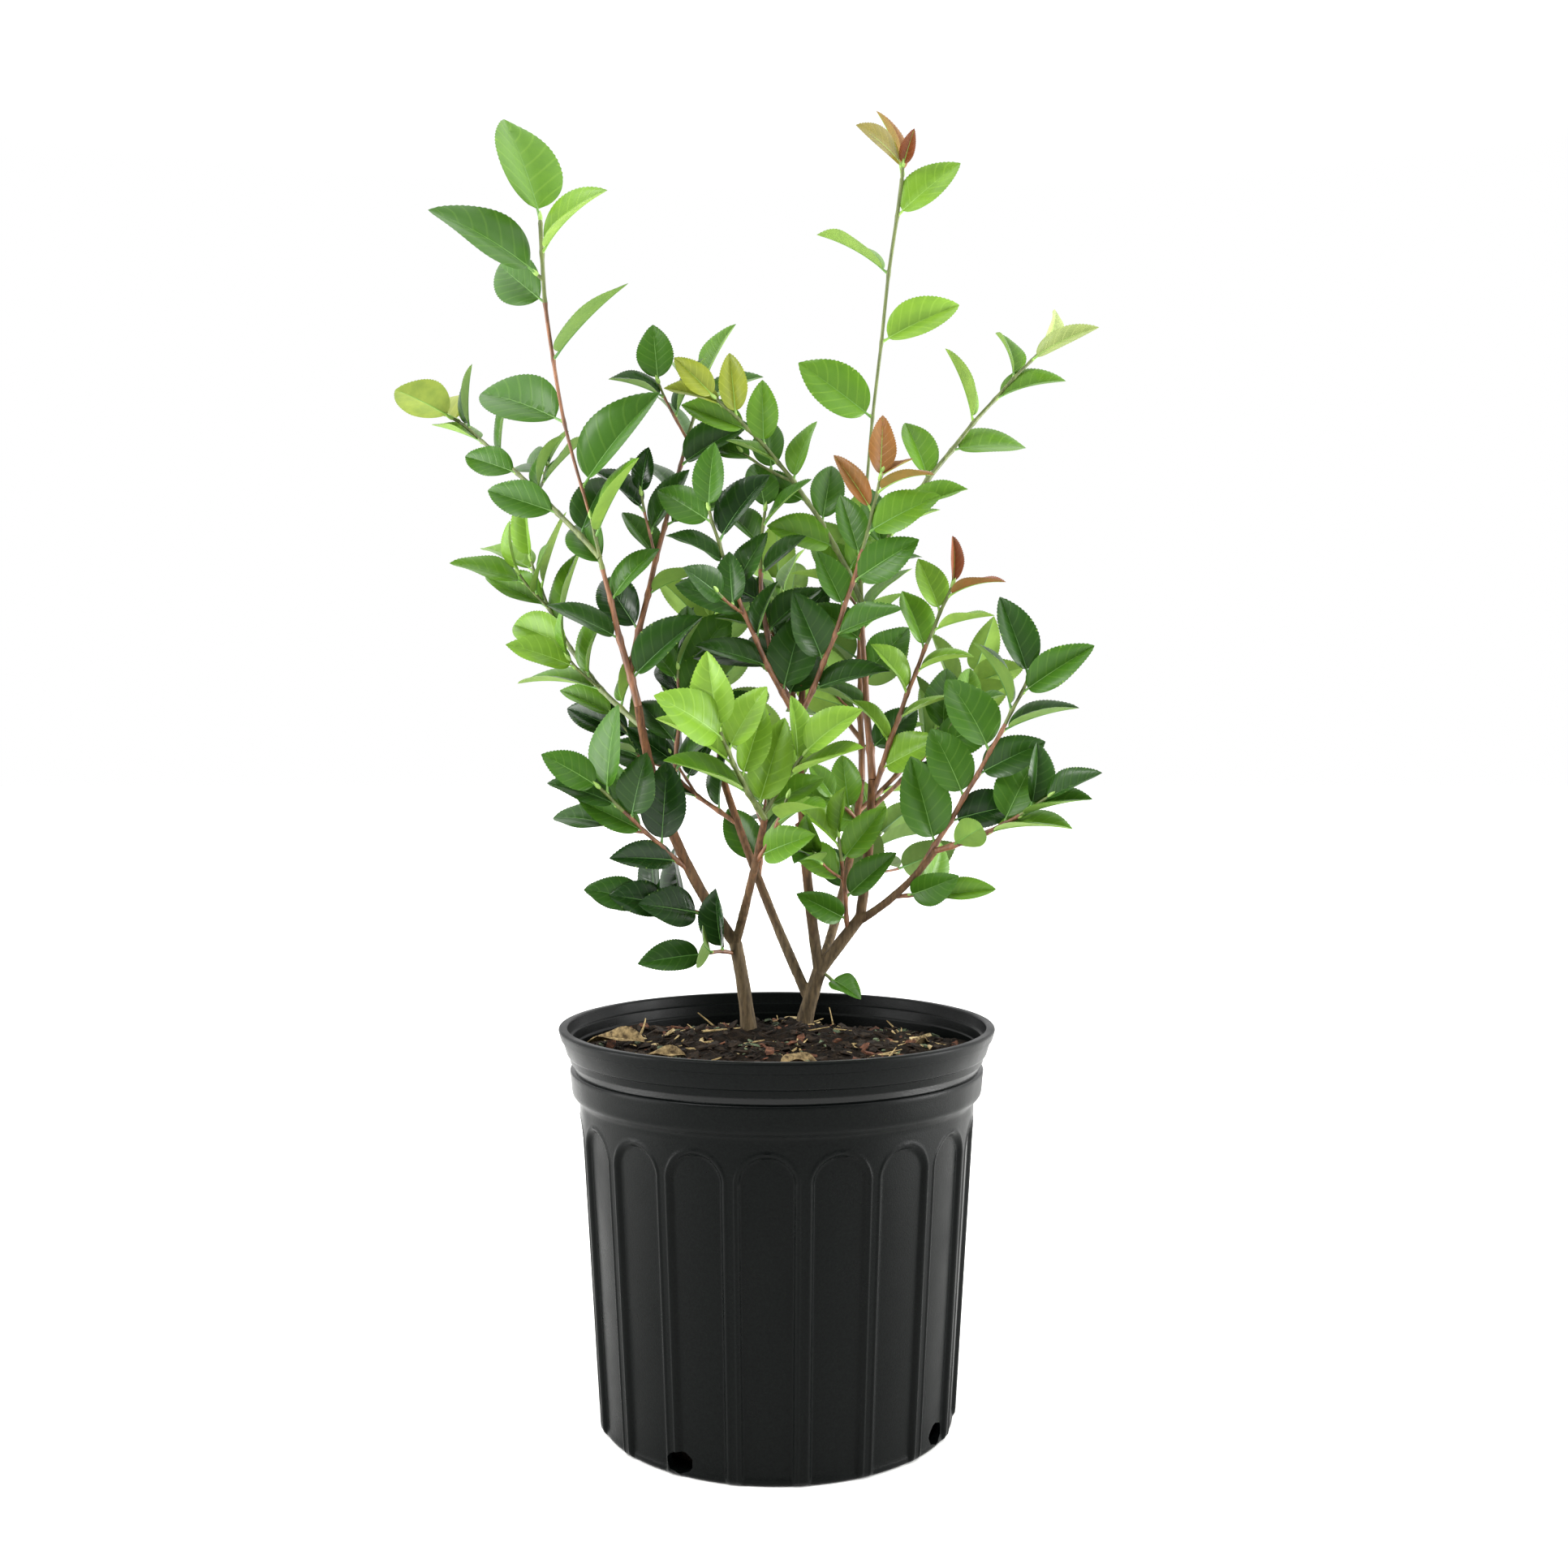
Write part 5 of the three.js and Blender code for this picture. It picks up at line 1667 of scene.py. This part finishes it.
@dataclass
class GrowingMix:
    """Peat and shredded bark that fills the pot, with what has fallen on it. Millimetres."""

    edge: float = 236.0
    top: float = 243.7
    plateau: float = 56.0
    radius: float = 129.8
    back_fall: float = 7.5  # how much lower the surface lies at the back
    mound: Pair = (4.0, 900.0)  # round each stem: height, and width squared
    lumps: tuple[Triple, ...] = ((4.2, 1, 30), (2.2, 5, 10), (1.2, 9, 3.6))
    lower_rows: tuple[Pair, ...] = (
        (129.8, 217.0), (121.9, 208.0), (111.0, 26.0), (101.0, 12.0), (98.0, 3.3))
    rings: int = 90
    columns: int = 300
    seed: int = 4001
    feet: tuple[Pair, ...] = ((-18.0, 20.0), (16.0, 30.0))
    foot_room: float = 9.0  # what has fallen lies this far from the middle of a stem
    chip_reach: float = 0.96  # how far out chips lie, as a share of the radius
    chip_sides: int = 5
    chip_width: Pair = (0.25, 0.7)  # of the chip's length
    chip_thick: Pair = (0.06, 0.15)  # of the chip's length
    chip_rough: Pair = (0.45, 1.3)  # how far its corners stand out
    chip_tilt: float = 0.6
    straw_reach: float = 0.93
    straw_length: Pair = (9.0, 30.0)
    straw_rise: Pair = (-0.05, 0.22)  # of one that lies down
    straw_bend: float = 0.25
    straw_radius: Pair = (0.75, 0.35)
    standing: tuple[int, float] = (9, 0.9)  # every how many straws one stands, and its rise
    straw_top: float = 259.0
    withered: tuple[tuple[float, ...], ...] = (
        # root x, y and z, heading, length, width, fold
        (-80, -14, 243.5, 172, 40, 19, 0.75),
        (-52, -62, 243.5, -160, 30, 15, 0.9),
        (84, -22, 242.5, 50, 22, 13, 1.0),
        (0, -88, 243.0, 20, 26, 16, 0.8),
    )

    def height_at(self, x: float, y: float) -> float:
        """Height of the mix's surface.

        Args:
            x: The place, across.
            y: The place, towards the back.

        Returns:
            The height there.
        """
        away = math.hypot(x, y)
        fall = min(1.0, max(0.0, (away - self.plateau) / (self.radius - self.plateau)))
        level = mix(self.top, self.edge + 1.5, fall * fall * (3 - 2 * fall))
        level -= self.back_fall * smooth_step((y - 25) / 75) * smooth_step((x + 95) / 50)
        high, wide = self.mound
        mound = sum(high * math.exp(-((x - fx) ** 2 + (y - fy) ** 2) / wide)
                    for fx, fy in self.feet)
        lumps = sum(deep * rumple(x, y, z, size) for deep, z, size in self.lumps)
        return level + mound + lumps * min(1.0, (self.radius + 6 - away) / 12)

    def body(self) -> Object:
        """The mix itself, closed down to the pot's floor.

        Returns:
            The linked object.
        """
        turn = np.arange(self.columns) * 2 * math.pi / self.columns
        rows = []
        for share in np.linspace(1 / self.rings, 1, self.rings):
            radius = self.radius * share ** 0.85
            x, y = radius * np.cos(turn), radius * np.sin(turn)
            rows.append(np.stack([x, y, [self.height_at(a, b) for a, b in zip(x, y)]], -1))
        for radius, z in self.lower_rows:
            rows.append(np.stack([radius * np.cos(turn), radius * np.sin(turn),
                                  np.full(self.columns, z)], -1))
        ends = [[0, 0, self.height_at(0, 0)], [0, 0, self.lower_rows[-1][1]]]
        parts = MeshParts()
        parts.add(np.concatenate([*rows, ends]), tube_faces(len(rows), self.columns, True))
        return parts.piece("peat_mix", [Peat("milled_peat").material()])

    def spot(self, draws: Draws, reach: float) -> Pair:
        """A place on the surface, clear of the stems' feet.

        Args:
            draws: Where the numbers come from.
            reach: How far out it may be, as a share of the radius.

        Returns:
            The place.
        """
        while True:
            away = self.radius * reach * math.sqrt(draws.next())
            turn = draws.between(0, 2 * math.pi)
            x, y = away * math.cos(turn), away * math.sin(turn)
            if all(math.hypot(x - fx, y - fy) > self.foot_room for fx, fy in self.feet):
                return x, y

    def chips(self, draws: Draws, count: int, size: Pair) -> MeshParts:
        """Angular chips that lie at all tilts on the surface.

        Args:
            draws: Where the numbers come from.
            count: How many.
            size: Smallest and largest length.

        Returns:
            The joined chips.
        """
        parts = MeshParts()
        sides = self.chip_sides
        near = np.arange(sides)
        tips = np.concatenate([np.stack([near[2:] * 0, near[2:], near[1:-1]], -1),
                               sides + np.stack([near[2:] * 0, near[1:-1], near[2:]], -1)])
        faces = [tube_faces(2, sides)[0], tips]
        for _ in range(count):
            x, y = self.spot(draws, self.chip_reach)
            length = mix(*size, draws.next() ** 2)
            width = length * draws.between(*self.chip_width)
            thick = length * draws.between(*self.chip_thick)
            tilts = [draws.between(-self.chip_tilt, self.chip_tilt) for _ in range(2)]
            normal = unit(np.array([*tilts, 1.0]))
            turn = draws.between(0, 2 * math.pi)
            way = across(np.array([math.cos(turn), math.sin(turn), 0.1]), normal)
            aside = np.cross(normal, way)
            angle = near * 2 * math.pi / sides + draws.between(0, 1)
            rough = np.array([draws.between(*self.chip_rough) for _ in range(sides)])
            ring = ((np.cos(angle) * length / 2 * rough)[:, None] * way
                    + (np.sin(angle) * width / 2 * rough)[:, None] * aside)
            middle = np.array([x, y, self.height_at(x, y) + thick * 0.6 + length * 0.05])
            loops = [middle - normal * thick / 2 + ring, middle + normal * thick / 2 + ring * 0.86]
            parts.add(np.concatenate(loops), faces)
        return parts

    def straws(self, draws: Draws, count: int) -> MeshParts:
        """Thin bent stalks, some lying and some standing out of the mix.

        Args:
            draws: Where the numbers come from.
            count: How many; one that would leave the pot is dropped.

        Returns:
            The joined stalks.
        """
        parts = MeshParts()
        every, upright = self.standing
        for i in range(count):
            x, y = self.spot(draws, self.straw_reach)
            length = draws.between(*self.straw_length)
            rise = upright if i % every == 0 else draws.between(*self.straw_rise)
            turn = draws.between(0, 2 * math.pi)
            way = unit(np.array([math.cos(turn), math.sin(turn), rise]))
            bend = np.cross(way, UP) * draws.between(-self.straw_bend, self.straw_bend)
            shares = np.linspace(0, 1, 7)[:, None]
            foot = np.array([x, y, self.height_at(x, y) + 0.4])
            path = foot + way * shares * length + bend * length * shares ** 2
            within = np.hypot(path[:, 0], path[:, 1]).max() < self.radius - 2
            if within and path[:, 2].max() < self.straw_top:
                radii = np.linspace(*self.straw_radius, len(path)) * draws.between(0.6, 1.2)
                parts.add(*sweep(path, radii, 5))
        return parts

    def fallen_leaves(self) -> MeshParts:
        """The withered leaves that lie on the mix.

        Returns:
            The joined leaves.
        """
        blade = Blade(tooth_mm=0.3, pucker_mm=0.5)
        parts = MeshParts()
        faces, _ = blade.topology()
        for *root, heading, length, width, fold in self.withered:
            turn = math.radians(heading)
            way = unit(np.array([math.cos(turn), math.sin(turn), 0.2]))
            face = across(np.array([0.0, -0.5, 1.0]), way)
            leaf = Leaf(np.array(root, float), way, face, length, width, 0.5, fold)
            parts.add(blade.corners(leaf, 1.2, 0.5)[0], faces)
        return parts

    def dress(self) -> None:
        """Builds the mix and what lies on it, and seats them."""
        place_piece(self.body(), ["growing_mix"])
        draws = Draws(self.seed)
        heaps = (
            ("bark_chips", 1300, (2.5, 13.0), Litter("shredded_bark", "#0c0805", "#2a1e12")),
            ("red_chips", 130, (4.0, 17.0), Litter("red_bark", "#2c1b13", "#6a4431")),
            ("pale_chips", 46, (5.0, 19.0), Litter("split_wood", "#7a6846", "#bca97f")),
            ("grey_crumbs", 190, (3.0, 14.0), Litter("lichened_bark", "#20271b", "#667257")),
        )
        loose = [(name, self.chips(draws, count, size), finish, 30)
                 for name, count, size, finish in heaps]
        loose += [("straws", self.straws(draws, 80), Litter("dry_straw", "#74603c", "#b7a275"), 60),
                  ("fallen_leaves", self.fallen_leaves(),
                   Litter("withered_leaf", "#3f3322", "#94805a"), 60)]
        for name, parts, finish, sharp in loose:
            place_piece(parts.piece(name, [finish.material()], sharp), [])


@dataclass
class Framework:
    """Trunks and boughs, grown into one another, with the bark's relief. Millimetres."""

    plant: Plant
    stubs: tuple[tuple[str, float, float, float, float, float], ...] = (
        # pruned off: on, at, heading, lean, length, radius
        ("centre_bough", 0.985, 20.0, 4.0, 29.0, 2.1),
        ("centre_bough", 0.54, 200.0, 24.0, 12.0, 1.7),
        ("right_bough", 0.35, 190.0, 50.0, 7.0, 1.4),
        ("left_bough", 0.62, 250.0, 55.0, 6.0, 1.3),
        ("back_bough", 0.3, 120.0, 55.0, 8.0, 1.5),
    )
    sides: int = 20
    ring_mm: float = 2.5
    voxel_mm: float = 0.62
    smoothings: int = 3
    furrow_mm: float = 0.22
    foot_depth: float = 6.0  # how far the trunks reach down into the mix
    flare: Pair = (1.8, 9.0)  # widening at the ground, and its height
    knobs: Pair = (0.07, 11.0)  # unevenness of the radius, and its size

    def dress(self) -> None:
        """Builds the limbs, joins them and seats them."""
        parts = MeshParts()
        for name, limb in self.plant.limbs.items():
            count = max(4, round(limb.length / self.ring_mm))
            shares = np.linspace(0, 1, count)
            points = np.array([limb.point(s) for s in shares])
            radii = mix(limb.radius[0], limb.radius[1], shares)
            if name.startswith("trunk"):
                wider, reach = self.flare
                radii = radii - 0.4 + wider * np.exp(-shares * limb.length / reach)
                points = np.concatenate([points[:1] - UP * self.foot_depth, points])
                radii = np.concatenate([[radii[0] * 1.25], radii])
            uneven, size = self.knobs
            knobs = np.array([rumple(*p, size) for p in points])
            parts.add(*sweep(points, radii * (1 + uneven * knobs), self.sides))
        for on, at, heading, lean, length, radius in self.stubs:
            foot = self.plant.limbs[on].point(at)
            stub = Limb(foot, heading, (lean, lean), length, (radius, radius))
            parts.add(*sweep(stub.points, np.linspace(radius * 1.2, radius, len(stub.points)), 14))
        blank = parts.piece("limbs_blank", [])
        remesh = blank.modifiers.new("grown_together", "REMESH")
        remesh.mode, remesh.voxel_size = "VOXEL", self.voxel_mm * MM
        relax = blank.modifiers.new("relax", "SMOOTH")
        relax.factor, relax.iterations = 0.5, self.smoothings
        mesh = evaluated(blank)
        corners = corners_of(mesh)
        normals = np.empty(len(corners) * 3)
        mesh.vertex_normals.foreach_get("vector", normals)
        furrows = np.array([
            rumple(x, y, z / 6, 1.3) + 0.5 * rumple(x, y, z / 2, 0.9)
            + 1.4 * max(0.0, rumple(x, y, z * 1.5, 2.4) - 0.35) for x, y, z in corners])
        corners += normals.reshape(-1, 3) * (furrows * self.furrow_mm)[:, None]
        mesh.vertices.foreach_set("co", (corners * MM).ravel())
        piece = finish_mesh(mesh, "trunks_and_boughs", [Bark("young_bark").material()], 80)
        place_piece(piece, list(self.plant.limbs))


@dataclass
class Stems:
    """Shoots and twigs with a knee at every leaf, and their buds. Millimetres."""

    plant: Plant
    sides: int = 9
    ring_mm: float = 2.2
    knee_mm: float = 2.4  # length of the swelling at a leaf
    swelling: float = 0.3  # share by which a knee is thicker
    kink_mm: float = 0.45  # how far a shoot steps towards each leaf
    ripe_share: float = 0.72  # share of a red-brown shoot that has ripened
    tip_bud: Pair = (7.0, 1.5)  # length and radius
    side_bud: Pair = (3.4, 0.9)
    bud_out: float = 1.1  # how far a side bud stands off the shoot's middle line

    def stem(self, shoot: Shoot) -> tuple[Array, Array, Array]:
        """The path and radii of one shoot.

        Args:
            shoot: The shoot.

        Returns:
            Shares of its length, places and radii, one for each ring.
        """
        curve = shoot.curve
        shares = np.linspace(0, 1, max(6, round(curve.length / self.ring_mm)))
        points = np.array([curve.point(s) for s in shares])
        radii = np.array([curve.radius_at(s) for s in shares])
        if shoot.joints:
            knots = np.array([0.0] + [s for s, _ in shoot.joints])
            steps = np.array([np.zeros(3)] + [way * self.kink_mm for _, way in shoot.joints])
            for axis in range(3):
                points[:, axis] += np.interp(shares, knots, steps[:, axis])
            for joint, _ in shoot.joints:
                off = (shares - joint) * curve.length / self.knee_mm
                radii *= 1 + self.swelling * np.exp(-off * off)
        radii[-1] *= 0.6
        return shares, points, radii

    def dress(self) -> None:
        """Builds stems and buds, and seats them."""
        stems = {tone: MeshParts() for tone in Stem}
        buds = MeshParts()
        masses = {tone: set() for tone in Stem}
        for shoot in self.plant.shoots:
            shares, points, radii = self.stem(shoot)
            ripe = round(len(shares) * (self.ripe_share if shoot.stem is Stem.RED_BROWN else 1))
            for tone, part in ((shoot.stem, slice(0, ripe + 1)), (Stem.GREEN, slice(ripe, None))):
                if len(points[part]) > 2:
                    stems[tone].add(*sweep(points[part], radii[part], self.sides))
                    masses[tone].add(shoot.mass)
            way = shoot.curve.along(1.0)
            buds.add(*ovoid(points[-1] - way, way, *self.tip_bud))
            for share, leaf_way in shoot.joints[:-1]:
                along = shoot.curve.along(share)
                start = shoot.curve.point(share) + across(leaf_way, along) * self.bud_out
                buds.add(*ovoid(start, unit(leaf_way * 0.55 + along), *self.side_bud))
        for tone, parts in stems.items():
            skin = StemSkin(f"stem_skin_{tone.name.lower()}", *tone.value).material()
            piece = parts.piece(f"stems_{tone.name.lower()}", [skin])
            place_piece(piece, sorted(masses[tone]))
        bud_skin = Midrib("bud_scales", "#8fae55").material()
        place_piece(buds.piece("buds", [bud_skin]), [])


@dataclass
class Foliage:
    """All leaf blades, by tint, with their stalks and midribs. Millimetres."""

    plant: Plant
    blade: Blade = field(default_factory=Blade)
    wave: Pair = (-0.9, 0.9)
    twist: Pair = (-14.0, 14.0)
    stalk_radius: float = 0.85
    rib_radius: Pair = (0.55, 0.2)
    rib_end: float = 0.93
    seed: int = 911

    SLOTS = {Tint.DEEP: "leaf_dark", Tint.DARK: "leaf_dark", Tint.MID: "leaf_mid",
             Tint.GRASS: "leaf_mid"}
    SHEEN = {Tint.DEEP: (0.23, 0.3), Tint.DARK: (0.3, 0.24)}  # roughness and specular
    RIBS = {"dark": "#3f6b2a", "mid": "#557f30", "light": "#7fa542"}
    RUSTY = (Tint.KHAKI, Tint.BRONZE, Tint.RUST)
    UNDER = "#a1b763"

    @staticmethod
    def rib_tone(tint: Tint) -> str:
        """The tone of a leaf's midrib.

        Args:
            tint: The leaf's tint.

        Returns:
            The tone's name in RIBS.
        """
        if tint in (Tint.DEEP, Tint.DARK):
            return "dark"
        return "mid" if tint in (Tint.MID, Tint.GRASS) else "light"

    def rib(self, leaf: Leaf) -> Form:
        """The stalk and midrib of one leaf as one tapering form.

        Args:
            leaf: The leaf.

        Returns:
            Its corners and faces.
        """
        joint = Rule.STALK / (1 + Rule.STALK)
        end = (Rule.STALK + self.rib_end) / (1 + Rule.STALK)
        shares = np.concatenate([np.linspace(0, joint, 5), np.linspace(joint, end, 12)[1:]])
        rib = np.interp(shares, [0, joint * 0.8, joint * 1.6, end],
                        [self.stalk_radius * 1.15, self.stalk_radius, *self.rib_radius])
        return sweep(leaf.spine(shares)[0], rib, 6)

    def dress(self) -> None:
        """Builds the blades and ribs, and seats them."""
        draws = Draws(self.seed)
        faces, marks = self.blade.topology()
        ribs = {tone: MeshParts() for tone in self.RIBS}
        groups: dict[Tint, MeshParts] = {tint: MeshParts() for tint in Tint}
        masses: dict[Tint, set[str]] = {tint: set() for tint in Tint}
        for leaf in self.plant.leaves:
            twist = math.radians(draws.between(*self.twist))
            corners, uvs = self.blade.corners(leaf, draws.between(*self.wave), twist)
            groups[leaf.tint].add(corners, faces, marks, uvs)
            masses[leaf.tint].add(leaf.mass)
            ribs[self.rib_tone(leaf.tint)].add(*self.rib(leaf))
        for tint, parts in groups.items():
            if not parts.count:
                continue
            word = tint.name.lower()
            under = blend_hex(tint.value, self.UNDER, 0.2 if tint in self.RUSTY else 0.5)
            roughness, specular = self.SHEEN.get(tint, (0.36, 0.24))
            skins = [LeafSkin(f"leaf_skin_{word}", tint.value, roughness, specular).material(),
                     LeafUnderside(f"leaf_underside_{word}", under).material()]
            piece = parts.piece(f"leaves_{word}", skins, 50)
            place_piece(piece, sorted(masses[tint]))
        for tone, parts in ribs.items():
            sap = Midrib(f"midrib_{tone}", self.RIBS[tone]).material()
            place_piece(parts.piece(f"midribs_{tone}", [sap]), [])
        LOG.info("leaves: %d", len(self.plant.leaves))


@dataclass
class Studio:
    """Floor, lights and camera. Metres."""

    floor_size: float = 30.0
    camera_at: Triple = (0.0046, -1.115, 0.437)
    pitch_down: float = 1.44
    lens_mm: float = 39.76
    sensor_mm: float = 36.0
    sky: str = "#ffffff"
    sky_strength: Pair = (1.0, 1.25)  # all round, and added overhead
    # share of that light along an axis, between two of its values: dim in front, bright at the
    # sides
    sky_sides: tuple[tuple[int, float, float, float, float], ...] = (
        (1, -0.95, -0.35, 0.35, 1.0), (0, 0.45, 0.95, 1.0, 2.9), (0, -0.95, -0.45, 1.8, 1.0))
    lamps: tuple[tuple[str, Triple, float, float], ...] = (
        # name, place, size, watts
        ("key_light", (-1.2, -1.0, 1.7), 0.6, 24),
        ("left_strip", (-1.5, -0.3, 0.4), 0.8, 22),
        ("right_strip", (1.5, -0.15, 0.4), 0.8, 33),
    )
    aim: Triple = (0.0, 0.0, 0.42)  # where the lamps look

    def light(self, name: str, at: Triple, size: float, watts: float) -> None:
        """A square soft light that looks at the crown's middle.

        Args:
            name: Its name.
            at: Where it stands.
            size: The length of its side.
            watts: Its strength.
        """
        lamp = bpy.data.lights.new(name, "AREA")
        lamp.energy, lamp.size = watts, size
        made = bpy.data.objects.new(name, lamp)
        made.location = at
        made.rotation_euler = (Vector(self.aim) - Vector(at)).to_track_quat("-Z", "Y").to_euler()
        bpy.context.scene.collection.objects.link(made)

    def sky_light(self) -> None:
        """Makes the sky, dimmer in front and brighter at the sides and overhead."""
        world = bpy.data.worlds.new("studio")
        bpy.context.scene.world = world
        world.use_nodes = True
        tree = world.node_tree
        backdrop = tree.nodes["Background"]
        backdrop.inputs["Color"].default_value = linear(self.sky)
        way = add_node(tree, "TexCoord").outputs["Generated"]
        parts = add_node(tree, "SeparateXYZ", {0: way}).outputs
        level, overhead = self.sky_strength
        strength = add_node(tree, "MapRange", {"Value": parts[2], 1: 0.3, 2: 0.9, 3: level,
                                               4: level + overhead}).outputs[0]
        for axis, start, end, near, far in self.sky_sides:
            share = add_node(tree, "MapRange", {"Value": parts[axis], 1: start, 2: end, 3: near,
                                                4: far})
            strength = add_node(tree, "Math", {0: strength, 1: share.outputs[0]},
                                operation="MULTIPLY").outputs[0]
        tree.links.new(strength, backdrop.inputs["Strength"])

    def build(self) -> None:
        """Makes the floor, the sky, the lights and the camera."""
        bpy.ops.mesh.primitive_plane_add(size=self.floor_size)
        floor = bpy.context.object
        floor.name = "studio_floor"
        floor.data.materials.append(MattPaper("matt_paper").material())
        self.sky_light()
        for lamp in self.lamps:
            self.light(*lamp)
        bpy.context.scene.view_settings.view_transform = "Standard"
        lens = bpy.data.cameras.new("camera")
        lens.sensor_width, lens.lens = self.sensor_mm, self.lens_mm
        camera = bpy.data.objects.new("camera", lens)
        camera.location = self.camera_at
        camera.rotation_euler = (math.radians(90 - self.pitch_down), 0, 0)
        bpy.context.scene.collection.objects.link(camera)
        bpy.context.scene.camera = camera


def main() -> None:
    """Builds the studio and the plant in order."""
    logging.basicConfig(level=logging.INFO, format="%(name)s: %(message)s")
    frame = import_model()
    LOG.info("frame: %d nodes", len(frame["nodes"]))
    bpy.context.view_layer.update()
    Studio().build()
    plant = Plant()
    LOG.info("grown: %d shoots and %d leaves", len(plant.shoots), len(plant.leaves))
    NurseryPot().dress()
    GrowingMix().dress()
    Framework(plant).dress()
    Stems(plant).dress()
    Foliage(plant).dress()


if __name__ == "__main__":
    main()
